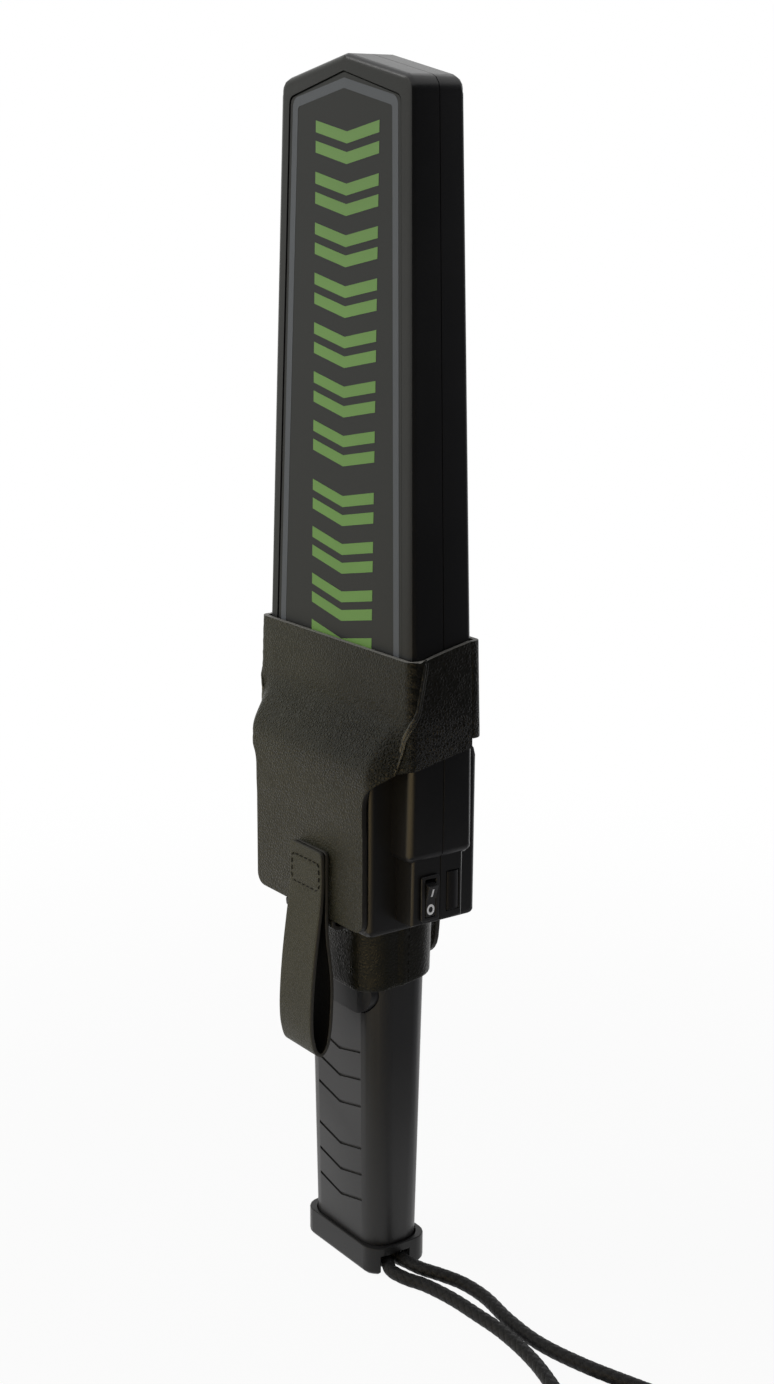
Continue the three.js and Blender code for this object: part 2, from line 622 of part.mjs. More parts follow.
function chevron(kinkZ, side) {
  const half = GROOVE.width / 2;
  const outline = [
    [0, kinkZ - half], [GROOVE.halfSpan, kinkZ - half + GROOVE.rise],
    [GROOVE.halfSpan, kinkZ + half + GROOVE.rise], [0, kinkZ + half],
    [-GROOVE.halfSpan, kinkZ + half + GROOVE.rise], [-GROOVE.halfSpan, kinkZ - half + GROOVE.rise],
  ].map(([x, z]) => new THREE.Vector2(x, z));
  const depth = gripHalf(kinkZ + GROOVE.rise / 2)[1];
  const near = depth - GROOVE.depth;
  if (side < 0) return solidOf(slabY(outline, -depth - OVERRUN, -near));
  return solidOf(slabY(outline, near, depth + OVERRUN));
}

function gripTube() {
  const [topHalfWidth, topHalfDepth] = gripHalf(GRIP.topZ);
  const neckTop = HOUSING.bottomZ + HOUSING.wall + GAP + NECK.flangeHeight + NECK.rimHeight;
  const neck = solidOf(slabZ(neckSection(0), GRIP.topZ - OVERRUN, neckTop));
  const flangeZ = HOUSING.bottomZ + HOUSING.wall + GAP;
  const flange = solidOf(slabZ(neckSection(NECK.flangeGrowth), flangeZ, flangeZ + NECK.flangeHeight));
  const boreX = topHalfWidth - NECK.inset - GRIP.wall;
  const boreY = topHalfDepth - NECK.inset - GRIP.wall;
  const bore = roundedOutline(rectangle(-boreX, boreX, -boreY, boreY, GRIP.radius - NECK.inset));
  const hollow = solidOf(loft([
    gripRing(GRIP.bottomZ - OVERRUN, -GRIP.wall), gripRing(GRIP.topZ - OVERRUN, -GRIP.wall),
  ]));
  const throat = solidOf(slabZ(bore, GRIP.topZ - 2 * OVERRUN, neckTop + OVERRUN));
  const ribInner = BATTERY.halfWidth + GAP;
  const ribs = [-1, 1].flatMap((side) => [-1, 1].map((face) => {
    const x0 = side < 0 ? -ribInner - RIB.thickness : ribInner;
    const y0 = face < 0 ? -GRIP.halfDepthBottom : GRIP.halfDepthBottom / 2;
    return box(x0, x0 + RIB.thickness, y0, y0 + GRIP.halfDepthBottom / 2,
      CAP.floorZ + CAP.clipHeight + 2 * GAP, RIB.topZ);
  }));
  const opening = solidOf(slabY(stadium(0, BUTTON.centreZ, BUTTON.halfLength + BUTTON.play,
    BUTTON.halfHeight + BUTTON.play), -GRIP.halfDepthTop - OVERRUN, BUTTON.skirtY + BUTTON.play));
  const grooves = GROOVE.kinkHeights.flatMap((z) => [chevron(z, -1), chevron(z, 1)]);
  const skin = joined([gripForm(0), neck, flange]).subtract(hollow).subtract(throat);
  return joined([skin, ...ribs.map((rib) => rib.intersect(gripForm(-GRIP.wall / 2)))])
    .subtract(opening).subtract(joined(grooves));
}

// The thumb button: a long pill that follows the grip's front, with a flange and a stem behind.
function thumbButton() {
  const pill = slabY(stadium(0, BUTTON.centreZ, BUTTON.halfLength, BUTTON.halfHeight),
    -GRIP.halfDepthTop - OVERRUN, BUTTON.skirtY);
  const span = BUTTON.halfHeight + BUTTON.flangeHalfHeight;
  const outside = gripForm(BUTTON.proud, BUTTON.centreZ - span, BUTTON.centreZ + span);
  const inside = gripForm(-BUTTON.thickness, BUTTON.centreZ - span, BUTTON.centreZ + span);
  const innerY = -(gripHalf(BUTTON.centreZ)[1] - BUTTON.thickness);
  const flange = box(-BUTTON.flangeHalfLength, BUTTON.flangeHalfLength, innerY - GAP,
    innerY + BUTTON.flangeThickness,
    BUTTON.centreZ - BUTTON.flangeHalfHeight, BUTTON.centreZ + BUTTON.flangeHalfHeight);
  const half = BUTTON.stem / 2;
  const stem = box(-half, half, innerY, keyTopY() - GAP, BUTTON.centreZ - half, BUTTON.centreZ + half);
  return joined([solidOf(pill).intersect(outside).subtract(inside), flange, stem]);
}

const boardFrontY = BOARD.rearY - BOARD.thickness;

function keyTopY() {
  return boardFrontY - GAP - KEY.height - KEY.plungerProud;
}

function keySwitch() {
  const y1 = boardFrontY - GAP;
  const y0 = y1 - KEY.height;
  const half = KEY.size / 2;
  const bore = cylinderY(KEY.plungerRadius + GAP, y0 - OVERRUN, y0 + KEY.plungerDepth + BUTTON.travel + GAP,
    0, BUTTON.centreZ);
  return box(-half, half, y0, y1, BUTTON.centreZ - half, BUTTON.centreZ + half).subtract(bore);
}

function keyPlunger() {
  const y0 = keyTopY();
  return cylinderY(KEY.plungerRadius, y0, y0 + KEY.plungerProud + KEY.plungerDepth, 0, BUTTON.centreZ);
}

// The end cap and what hangs on it.

function capRing(z, inset = 0) {
  const [halfWidth, halfDepth] = gripHalf(GRIP.bottomZ);
  const x = halfWidth + CAP.lip - inset;
  const y = halfDepth + CAP.lip - inset;
  return roundedOutline(rectangle(-x, x, -y, y, GRIP.radius - CAP.lip - inset), GRIP.cornerSteps)
    .map((point) => new THREE.Vector3(point.x, point.y, z));
}

const capHalfWidth = GRIP.halfWidthBottom + CAP.lip;

function endCap() {
  const outside = solidOf(loft([capRing(0, CAP.edge), capRing(CAP.edge), capRing(CAP.lipTopZ)]));
  const [halfWidth, halfDepth] = gripHalf(GRIP.bottomZ);
  const tray = solidOf(slabZ(roundedOutline(rectangle(-halfWidth - GAP, halfWidth + GAP, -halfDepth - GAP,
    halfDepth + GAP, GRIP.radius), GRIP.cornerSteps), CAP.floorZ, CAP.lipTopZ + OVERRUN));
  const clipOuter = halfWidth - GRIP.wall - GAP;
  const clips = [-1, 1].map((side) => {
    const x0 = side < 0 ? -clipOuter : clipOuter - CAP.clipThickness;
    return box(x0, x0 + CAP.clipThickness, -CAP.clipHalfDepth, CAP.clipHalfDepth,
      CAP.floorZ - GAP, CAP.floorZ + CAP.clipHeight);
  });
  const recess = box(capHalfWidth - CAP.recessDepth, capHalfWidth + OVERRUN, CAP.recessFrontY,
    CAP.recessRearY,
    -OVERRUN, CAP.recessTopZ);
  const pinHole = cylinderY(PIN.radius + GAP, CAP.recessFrontY - PIN.bite - GAP,
    CAP.recessRearY + PIN.bite + GAP,
    pinX, pinZ, PIN.sides);
  return joined([outside.subtract(tray), ...clips]).subtract(recess).subtract(pinHole);
}

const ferruleX = capHalfWidth - CAP.recessDepth + 2 * GAP;
const pinX = ferruleX + FERRULE.length - PIN.backset;
const pinZ = FERRULE.baseZ + FERRULE.height / 2;

function ferrule() {
  const y0 = CORD.frontY - CORD.diameter / 2 - FERRULE.border;
  const y1 = CORD.frontY + CORD.spacing + CORD.diameter / 2 + FERRULE.border;
  const block = box(ferruleX, ferruleX + FERRULE.length, y0, y1, FERRULE.baseZ,
    FERRULE.baseZ + FERRULE.height);
  return block.subtract(cylinderY(FERRULE.pinHole, y0 - OVERRUN, y1 + OVERRUN, pinX, pinZ, PIN.sides));
}

function lanyardPin() {
  return cylinderY(PIN.radius, CAP.recessFrontY - PIN.bite, CAP.recessRearY + PIN.bite, pinX, pinZ,
    PIN.sides);
}

function wristCord() {
  const x = ferruleX + FERRULE.length + GAP;
  const z = FERRULE.baseZ + FERRULE.height / 2;
  const front = [[x, CORD.frontY, z], [x + CORD.diameter / 2, CORD.frontY, z]];
  const rearY = CORD.frontY + CORD.spacing;
  const rear = [[x + CORD.diameter / 2, rearY, z], [x, rearY, z]];
  return tube([...front, ...CORD_ROUTE, ...rear], CORD.diameter / 2, CORD.sides, 64);
}

// Power.

const foamZ = CAP.floorZ + GAP;
const batteryZ = foamZ + FOAM.thickness + GAP;
const batteryTop = batteryZ + BATTERY.height;

function battery() {
  const outline = roundedOutline(rectangle(-BATTERY.halfWidth, BATTERY.halfWidth, -BATTERY.halfDepth,
    BATTERY.halfDepth, BATTERY.edge), 3);
  return joined([
    solidOf(slabZ(outline, batteryZ, batteryTop)),
    cylinderZ(BATTERY.smallStud, batteryTop - GAP, batteryTop + BATTERY.studHeight, -BATTERY.studX, 0, 12),
    cylinderZ(BATTERY.largeStud, batteryTop - GAP, batteryTop + BATTERY.studHeight, BATTERY.studX, 0, 6),
  ]);
}

function snapConnector() {
  const z0 = batteryTop + GAP;
  const plate = box(-SNAP.halfWidth, SNAP.halfWidth, -SNAP.halfDepth, SNAP.halfDepth, z0, z0 + SNAP.height);
  const sockets = [
    cylinderZ(BATTERY.smallStud + SNAP.play, z0 - OVERRUN, batteryTop + BATTERY.studHeight + GAP,
      -BATTERY.studX, 0, 12),
    cylinderZ(BATTERY.largeStud + SNAP.play, z0 - OVERRUN, batteryTop + BATTERY.studHeight + GAP,
      BATTERY.studX, 0, 12),
  ];
  return plate.subtract(joined(sockets));
}

function batteryLead(side) {
  const start = batteryTop + GAP + SNAP.height + GAP;
  const end = BOARD.tongueBottomZ - GAP;
  const x = side * SNAP.halfDepth;
  const rise = (end - start) / 3;
  const boardY = BOARD.rearY - BOARD.thickness / 2;
  return tube([[x, 0, start], [x, 0, start + LEAD.radius * 2], [x * LEAD.bowShare, -boardY, start + rise],
    [x / 2, boardY, end - rise / 2], [x / 2, boardY, end]], LEAD.radius, LEAD.sides, 10);
}

// Electronics.

function mainBoard() {
  const y0 = boardFrontY;
  return joined([
    box(-BOARD.halfWidth, BOARD.halfWidth, y0, BOARD.rearY, BOARD.bottomZ, BOARD.topZ),
    box(-BOARD.tongueHalfWidth, BOARD.tongueHalfWidth, y0, BOARD.rearY, BOARD.tongueBottomZ,
      BOARD.bottomZ + OVERRUN),
  ]);
}

// A block seated on the board's front face.
function onBoard(x, z, width, length, height) {
  const y1 = boardFrontY - GAP;
  return box(x - width / 2, x + width / 2, y1 - height, y1, z - length / 2, z + length / 2);
}

function capacitor(x) {
  const y1 = boardFrontY - GAP;
  return cylinderY(CAPACITOR.radius, y1 - CAPACITOR.length, y1, x, CAPACITOR.z, CAPACITOR.sides);
}

const motorY = boardFrontY - MOTOR.offBoard;
const motorEnd = MOTOR.startX + MOTOR.length;

function motorCan() {
  return cylinderX(MOTOR.radius, MOTOR.startX, motorEnd, motorY, MOTOR.z, MOTOR.sides)
    .subtract(cylinderX(MOTOR.shaftBore, motorEnd - MOTOR.bite - GAP, motorEnd + OVERRUN, motorY, MOTOR.z,
      10));
}

function motorWeight() {
  const start = motorEnd + MOTOR.weightGap;
  const upper = box(start - OVERRUN, start + MOTOR.weightLength + OVERRUN, motorY - MOTOR.radius,
    motorY + MOTOR.radius,
    MOTOR.z, MOTOR.z + 2 * MOTOR.radius);
  const weight = cylinderX(MOTOR.weightRadius, start, start + MOTOR.weightLength, motorY, MOTOR.z,
    MOTOR.sides)
    .subtract(upper);
  const shaft = cylinderX(MOTOR.shaftRadius, motorEnd - MOTOR.bite, start + MOTOR.weightLength, motorY,
    MOTOR.z, 10);
  return weight.add(shaft);
}

// A spring clip round the motor's can, its foot on the board.
function motorClip() {
  const inner = MOTOR.radius + GAP;
  const outer = inner + MOTOR.clipWall;
  const x0 = MOTOR.startX + MOTOR.clipStart;
  const x1 = x0 + MOTOR.clipLength;
  const foot = box(x0, x1, motorY, boardFrontY - GAP, MOTOR.z - inner, MOTOR.z + inner);
  const mouth = box(x0 - OVERRUN, x1 + OVERRUN, motorY - 2 * outer, motorY - inner / 2, MOTOR.z - inner,
    MOTOR.z + inner);
  return joined([cylinderX(outer, x0, x1, motorY, MOTOR.z, MOTOR.sides), foot])
    .subtract(cylinderX(inner, x0 - OVERRUN, x1 + OVERRUN, motorY, MOTOR.z, MOTOR.sides)).subtract(mouth);
}

const lampY = (WINDOW.frontY + WINDOW.rearY) / 2;

function lamp(z) {
  const front = LAMP.backX + LAMP.length;
  const body = cylinderX(LAMP.radius, LAMP.backX, front - LAMP.radius, lampY, z, 12);
  const dome = new THREE.SphereGeometry(LAMP.radius, 12, 6);
  dome.rotateZ(-QUARTER);
  dome.translate(front - LAMP.radius, lampY, z);
  const legs = [-1, 1].map((side) => {
    const middle = z + (side * LAMP.legSpread) / 2;
    const reach = BOARD.halfWidth - LAMP.legs * 3;
    return box(reach, LAMP.backX + GAP, lampY - LAMP.legs / 2, lampY + LAMP.legs / 2,
      middle - LAMP.legs / 2, middle + LAMP.legs / 2)
      .add(box(reach, reach + LAMP.legs, BOARD.rearY + GAP, lampY, middle - LAMP.legs / 2,
        middle + LAMP.legs / 2));
  });
  return joined([body, solidOf(dome), ...legs]);
}

// The smoked window: a shallow crowned bar with a flange behind the wall.
function lampWindow() {
  const y0 = WINDOW.frontY + GAP;
  const y1 = WINDOW.rearY - GAP;
  const middle = (y0 + y1) / 2;
  const inner = PAD.faceX - PAD.wall - GAP;
  const crown = roundedOutline([
    [inner, y0], [PAD.faceX, y0], [PAD.faceX + WINDOW.crown, middle, y1 - y0],
    [PAD.faceX, y1], [inner, y1],
  ], 4);
  const bar = solidOf(slabZ(crown, WINDOW.lowZ + GAP, WINDOW.highZ - GAP));
  const flange = box(inner - WINDOW.flangeDepth, inner, y0 - WINDOW.flange, y1,
    WINDOW.lowZ - WINDOW.flange, WINDOW.highZ + WINDOW.flange);
  return bar.add(flange);
}

// The rocker switch.

const rockerY = (ROCKER.frontY + ROCKER.rearY) / 2;
const rockerZ = (ROCKER.lowZ + ROCKER.highZ) / 2;
const rockerHalfY = (ROCKER.rearY - ROCKER.frontY) / 2;
const rockerHalfZ = (ROCKER.highZ - ROCKER.lowZ) / 2;
const pivotX = PAD.faceX - ROCKER.pivotInset;

function rockerBody() {
  const face = PAD.faceX + GAP + ROCKER.bezel;
  const back = PAD.faceX - ROCKER.bodyDepth;
  const wall = ROCKER.bezelWall;
  const bezel = slabX(roundedOutline(rectangle(ROCKER.frontY, ROCKER.rearY, ROCKER.lowZ, ROCKER.highZ,
    wall)),
    PAD.faceX + GAP, face);
  const body = box(back, face - GAP, ROCKER.frontY + wall, ROCKER.rearY - wall, ROCKER.lowZ + wall,
    ROCKER.highZ - wall);
  const inset = wall + ROCKER.sidePlay;
  const well = box(PAD.faceX - ROCKER.floorDepth, face + OVERRUN, ROCKER.frontY + inset + wall / 2,
    ROCKER.rearY - inset - wall / 2, ROCKER.lowZ + inset, ROCKER.highZ - inset);
  const pinHole = cylinderY(ROCKER.pinRadius + GAP, ROCKER.frontY, ROCKER.rearY, pivotX, rockerZ, PIN.sides);
  return joined([solidOf(bezel), body]).subtract(well).subtract(pinHole);
}

function rockerKey() {
  const wall = ROCKER.bezelWall;
  const halfZ = rockerHalfZ - wall - ROCKER.sidePlay - ROCKER.endPlay;
  const halfY = rockerHalfY - wall * 1.5 - 2 * ROCKER.sidePlay;
  const rise = ROCKER.pivotInset;
  const outline = [
    [-ROCKER.rootDepth, -ROCKER.rootHalf], [rise - ROCKER.shoulderDepth, -halfZ],
    [rise + ROCKER.end, -halfZ],
    [rise + ROCKER.centre, 0], [rise + ROCKER.end, halfZ], [rise - ROCKER.shoulderDepth, halfZ],
    [-ROCKER.rootDepth, ROCKER.rootHalf],
  ].map(([x, z]) => new THREE.Vector2(x, z));
  const key = slabY(outline, -halfY, halfY);
  const solid = solidOf(key).subtract(cylinderY(ROCKER.pinRadius + ROCKER.borePlay, -OVERRUN, OVERRUN, 0,
    0, PIN.sides));
  const turned = geometryOf(solid);
  turned.rotateY(ROCKER.tilt);
  turned.translate(pivotX, rockerY, rockerZ);
  return solidOf(turned);
}

function rockerPin() {
  const wall = ROCKER.bezelWall + GAP;
  return cylinderY(ROCKER.pinRadius, ROCKER.frontY + wall, ROCKER.rearY - wall, pivotX, rockerZ, PIN.sides);
}

function switchLead(side) {
  const back = PAD.faceX - ROCKER.bodyDepth - GAP;
  const z = rockerZ + side * rockerHalfZ / 3;
  const boardEdge = BOARD.halfWidth - LEAD.radius * 3;
  const y = boardFrontY - GAP;
  const spread = side * LEAD.radius;
  return tube([
    [back, rockerY, z], [back - LEAD.radius * 2, rockerY, z],
    [(back + boardEdge) / 2, rockerY - LEAD.radius, z + spread],
    [boardEdge, rockerY / 2 - LEAD.radius, z + spread * 2], [boardEdge, y, z + spread * 2],
  ], LEAD.radius, LEAD.sides, 8);
}

// The search coil.

function ringAround(outerInset, width, halfDepth) {
  const outline = (inset) => roundedOutline(rectangle(-COIL.halfWidth + inset, COIL.halfWidth - inset,
    COIL.bottomZ + inset, coilTopZ - inset, COIL.radius - inset), COIL.cornerSteps);
  return solidOf(slabY(outline(outerInset), -halfDepth, halfDepth, 0, outline(outerInset + width)));
}

function coilFormer() {
  return ringAround(0, COIL.width, COIL.halfDepth)
    .subtract(ringAround(-OVERRUN, OVERRUN + COIL.grooveDepth, COIL.grooveHalf));
}

function coilWinding() {
  return ringAround(GAP, COIL.grooveDepth - 2 * GAP, COIL.grooveHalf - GAP);
}

function coilLead() {
  const socketTop = SOCKET.z + SOCKET.height / 2 + GAP;
  const y = boardFrontY - GAP - SOCKET.depth / 2;
  const start = COIL.bottomZ - GAP;
  const third = (start - socketTop) / 3;
  return tube([[SOCKET.x, 0, start], [SOCKET.x, 0, start - LEAD.radius * 2],
    [SOCKET.x - third / 2, y, start - third],
    [SOCKET.x + third / 4, y, socketTop + third], [SOCKET.x, y, socketTop + LEAD.radius * 2],
    [SOCKET.x, y, socketTop]],
  LEAD.radius, LEAD.sides, 12);
}

// The loudspeaker, its rim against the housing's rear wall.

const speakerFace = HOUSING.depth - HOUSING.wall - GAP;

function speakerBasket() {
  const back = speakerFace - SPEAKER.basketDepth;
  const wall = SPEAKER.wall;
  const profile = [
    [0, back - SPEAKER.magnetDepth], [SPEAKER.magnetRadius, back - SPEAKER.magnetDepth],
    [SPEAKER.magnetRadius, back], [SPEAKER.basketRadius, back],
    [SPEAKER.basketRadius, speakerFace - SPEAKER.rim],
    [SPEAKER.radius, speakerFace - SPEAKER.rim], [SPEAKER.radius, speakerFace],
    [SPEAKER.basketRadius - wall, speakerFace], [SPEAKER.basketRadius - wall, back + wall],
    [0, back + wall],
  ].map(([r, y]) => new THREE.Vector2(r, y));
  const geometry = new THREE.LatheGeometry(profile, SPEAKER.sides);
  geometry.translate(0, 0, SPEAKER.z);
  return solidOf(geometry);
}

function speakerCone() {
  const rimRadius = SPEAKER.basketRadius - SPEAKER.wall - GAP;
  const front = speakerFace - GAP;
  const deep = front - SPEAKER.coneDepth;
  const profile = [
    [0, deep - SPEAKER.cone], [SPEAKER.dustRadius, deep - SPEAKER.cone], [rimRadius, front - SPEAKER.cone],
    [rimRadius, front], [SPEAKER.dustRadius, deep], [0, deep + SPEAKER.cone],
  ].map(([r, y]) => new THREE.Vector2(r, y));
  const geometry = new THREE.LatheGeometry(profile, SPEAKER.sides);
  geometry.translate(0, 0, SPEAKER.z);
  return solidOf(geometry);
}

function speakerLead(side) {
  const start = speakerFace - SPEAKER.basketDepth - GAP;
  const end = BOARD.rearY + GAP;
  const x = side * SPEAKER.dustRadius;
  const tag = side * (SPEAKER.magnetRadius + SPEAKER.basketRadius) / 2;
  return tube([
    [tag, start, SPEAKER.z], [tag, start - LEAD.radius, SPEAKER.z],
    [(x + tag) / 2, (start - SPEAKER.magnetDepth + end) / 2, SPEAKER.z + LEAD.radius],
    [x, end + LEAD.radius, SPEAKER.z], [x, end, SPEAKER.z],
  ], LEAD.radius, LEAD.sides, 6);
}

function caseScrew({ x, z, seatY }) {
  return cylinderY(SCREW.headRadius, seatY + GAP, seatY + GAP + SCREW.headHeight, x, z, SCREW.sides)
    .add(cylinderY(SCREW.shankRadius, seatY - SCREW.length, seatY + GAP, x, z, SCREW.sides));
}

// The leather sleeve. Its panels start a gap off the case and are sheets over a grid of places.

function rise(z) {
  return smooth(SLEEVE.riseTopZ - z, 0, SLEEVE.riseTopZ - SLEEVE.riseBottomZ);
}

function frontPanelDepth(x, z) {
  const flat = frontDepth(z) + GAP;
  const full = HOUSING.depth + GAP;
  const plateau = 1 - smooth(Math.abs(x), SLEEVE.plateauX, PADDLE.halfWidthLow + GAP);
  return THREE.MathUtils.lerp(flat, full, rise(z) * plateau);
}

function frontPanelHalfWidth(z) {
  const waist = smooth(SLEEVE.waistTopZ - z, 0, SLEEVE.waistTopZ - SLEEVE.waistBottomZ);
  return THREE.MathUtils.lerp(paddleHalfWidth(z) + GAP, SLEEVE.lowHalfWidth, waist);
}

// The fold at the front panel's corners, and how far back it reaches round the paddle's sides.
function frontFold(z) {
  return THREE.MathUtils.lerp(LEATHER.edgeFold, LEATHER.fold,
    smooth(z, SLEEVE.seamEndZ, SLEEVE.seamStartZ));
}

function frontWrap(z) {
  const share = THREE.MathUtils.clamp((z - SLEEVE.seamEndZ) / (SLEEVE.frontTopZ - SLEEVE.seamEndZ), 0, 1);
  return LEATHER.edgeDrop + share * SLEEVE.frontSeamTop;
}

// Rows of places down a panel; each goes round one side, across the face and round the other side.
function panelGrid(heights, halfWidthAt, depthAt, foldAt, wrapAt, side) {
  return heights.map((z) => {
    const halfWidth = halfWidthAt(z);
    const fold = foldAt(z);
    const face = halfWidth - fold;
    const edgeDepth = depthAt(face, z);
    const wrap = wrapAt(z);
    const bend = fold * (1 - Math.SQRT1_2);
    const corner = [
      [halfWidth, edgeDepth - fold - wrap], [halfWidth, edgeDepth - fold],
      [halfWidth - bend, edgeDepth - bend],
    ];
    const row = [
      ...corner.map(([x, y]) => [-x, y]),
      ...FACE_SHARES.map((share) => [share * face, depthAt(share * face, z)]),
      ...corner.slice().reverse(),
    ];
    return row.map(([x, y]) => new THREE.Vector3(side * x, -side * y, z));
  });
}

function evenly(from, to, count) {
  return Array.from({ length: count }, (_, i) => from + ((to - from) * i) / (count - 1));
}

function sleeveFrontPanel() {
  const heights = [
    ...evenly(SLEEVE.bottomZ, SLEEVE.waistBottomZ, 3),
    ...evenly(SLEEVE.waistBottomZ, SLEEVE.riseTopZ, 14).slice(1),
    ...evenly(SLEEVE.riseTopZ, SLEEVE.frontTopZ, 3).slice(1),
  ];
  const grid = panelGrid(heights, frontPanelHalfWidth, frontPanelDepth, frontFold, frontWrap, 1);
  const panel = solidOf(sheet(grid, LEATHER.thickness));
  const reach = PADDLE.halfWidthLow + OVERRUN;
  const low = SLEEVE.lowHalfWidth + LEATHER.thickness;
  const outline = roundedOutline([
    [-low, SLEEVE.bottomZ, SLEEVE.bottomRadius], [low, SLEEVE.bottomZ, SLEEVE.bottomRadius],
    [low, SLEEVE.waistBottomZ], [reach, SLEEVE.waistTopZ], [reach, SLEEVE.frontTopZ + OVERRUN],
    [-reach, SLEEVE.frontTopZ + OVERRUN], [-reach, SLEEVE.waistTopZ], [-low, SLEEVE.waistBottomZ],
  ]);
  return panel.intersect(solidOf(slabY(outline, -HOUSING.depth - 2 * OVERRUN, OVERRUN)));
}

function sleeveRearPanel() {
  const heights = evenly(SLEEVE.rearBottomZ, SLEEVE.rearTopZ, 3);
  const depthAt = (x, z) => rearDepth(z) + GAP;
  const halfWidthAt = (z) => paddleHalfWidth(z) + GAP;
  const fold = () => LEATHER.fold;
  return solidOf(sheet(panelGrid(heights, halfWidthAt, depthAt, fold, fold, -1), LEATHER.thickness));
}

// The band over a side of the paddle, from the front panel's seam to the rear panel.
function sideBand(side) {
  const rows = 9;
  const grid = [];
  for (let r = 0; r < rows; r += 1) {
    const climb = r / (rows - 1);
    const frontZ = THREE.MathUtils.lerp(SLEEVE.bandFrontLowZ, SLEEVE.frontTopZ, climb);
    const rearZ = THREE.MathUtils.lerp(SLEEVE.bandRearLowZ, SLEEVE.rearTopZ, climb);
    const frontY = -(frontDepth(frontZ) - frontFold(frontZ) - frontWrap(frontZ) - GAP / 2);
    const rearY = rearDepth(rearZ) + GAP - 2 * LEATHER.fold - GAP;
    const front = new THREE.Vector3(side * (paddleHalfWidth(frontZ) + GAP), frontY, frontZ);
    const rear = new THREE.Vector3(side * (paddleHalfWidth(rearZ) + GAP), rearY, rearZ);
    const places = SIDE_SHARES.map((share) => front.clone().lerp(rear, share));
    grid.push(side > 0 ? places : places.reverse());
  }
  return solidOf(sheet(grid, LEATHER.thickness));
}

// The band round the top of the grip, with a tongue to the front panel's lower edge.
function neckBand() {
  const frontGrowth = BUTTON.proud + 2 * GAP;
  const lean = BAND.rearLowZ - BAND.frontLowZ;
  const ring = (growth) => solidOf(loft([
    gripRing(BAND.frontLowZ, growth, frontGrowth + growth - GAP, lean),
    gripRing(BAND.topZ, growth, frontGrowth + growth - GAP),
  ]));
  const hole = solidOf(loft([
    gripRing(BAND.frontLowZ - OVERRUN, GAP, frontGrowth, lean),
    gripRing(BAND.topZ + OVERRUN, GAP, frontGrowth),
  ]));
  const panelY = -(HOUSING.depth + GAP + LEATHER.thickness);
  const bandY = -(GRIP.halfDepthTop + frontGrowth);
  const tongue = box(-BAND.tongueHalf, BAND.tongueHalf, panelY, bandY - BAND.thickness / 3,
    BAND.topZ - BAND.thickness, BAND.topZ);
  const lip = box(-BAND.tongueHalf, BAND.tongueHalf, panelY, panelY + BAND.thickness,
    BAND.topZ - BAND.thickness, SLEEVE.bottomZ - GAP);
  return joined([ring(GAP + BAND.thickness).subtract(hole), tongue, lip]);
}

// The belt loop's strap: the outer end is sewn over the inner end, on the front panel.
function beltLoop() {
  const panelY = -(HOUSING.depth + GAP + LEATHER.thickness);
  const innerY = panelY - GAP - LEATHER.strap / 2;
  const outerY = innerY - GAP - LEATHER.strap;
  const height = LOOP.topZ - LOOP.lowZ;
  const middle = LOOP_DEPTH_SHARES.map((share, i) => (
    [outerY - LOOP.swing * share, LOOP.lowZ + height * LOOP_HEIGHT_SHARES[i]]
  ));
  middle.push([innerY, LOOP.neckZ], [innerY, (LOOP.neckZ + LOOP.topZ) / 2], [innerY, LOOP.topZ]);
  const curve = new THREE.CatmullRomCurve3(middle.map(([y, z]) => new THREE.Vector3(0, y, z)), false,
    'centripetal');
  const count = 32;
  const grid = curve.getSpacedPoints(count).map((place, i) => {
    const tangent = curve.getTangentAt(i / count);
    const normal = new THREE.Vector3(0, -tangent.z, tangent.y).multiplyScalar(LEATHER.strap / 2);
    const inner = place.clone().add(normal);
    return [-1, 1].map((side) => new THREE.Vector3(LOOP.centreX + side * LOOP.halfWidth, inner.y, inner.z));
  });
  return solidOf(sheet(grid.map((row) => row.reverse()), LEATHER.strap));
}

// The strap over the housing's rear, ending as a free tab behind the grip.
function rearTab() {
  const heights = [TAB.topZ, SLEEVE.riseTopZ, ...evenly(SLEEVE.riseTopZ, SLEEVE.riseBottomZ, 10).slice(1),
    TAB.hangZ, (TAB.hangZ + TAB.lowZ) / 2, TAB.lowZ];
  const depthAt = (z) => {
    if (z >= SLEEVE.riseTopZ) return rearDepth(z) + 2 * GAP + LEATHER.thickness;
    if (z < TAB.hangZ) {
      return HOUSING.depth + GAP - TAB.drawIn * ((TAB.hangZ - z) / (TAB.hangZ - TAB.lowZ)) ** 2;
    }
    const low = rearDepth(SLEEVE.riseTopZ) + 2 * GAP + LEATHER.thickness;
    return THREE.MathUtils.lerp(low, HOUSING.depth + GAP, rise(z));
  };
  const grid = heights.map((z) => (
    [-1, 1].map((side) => new THREE.Vector3(side * TAB.halfWidth, depthAt(z), z))));
  const strap = solidOf(sheet(grid, LEATHER.thickness));
  const outline = roundedOutline([
    [-TAB.halfWidth, TAB.lowZ, TAB.endRadius], [TAB.halfWidth, TAB.lowZ, TAB.endRadius],
    [TAB.halfWidth, TAB.topZ], [-TAB.halfWidth, TAB.topZ],
  ]);
  return strap.intersect(solidOf(slabY(outline, 0, HOUSING.depth + OVERRUN)));
}

// Assembly, from the case to its contents, the grip, the cap and the leather.

const outer = caseOuter();
const hollow = caseHollow();
addPiece('front_shell', frontShell(outer, hollow), 'casing');
addPiece('rear_shell', rearShell(outer, hollow), 'casing');
addPiece('front_label', labelPlate(-1), 'label');
addPiece('rear_label', labelPlate(1), 'label');
screwPlaces.forEach((place, i) => addPiece(`case_screw_${i + 1}`, caseScrew(place), 'steel'));

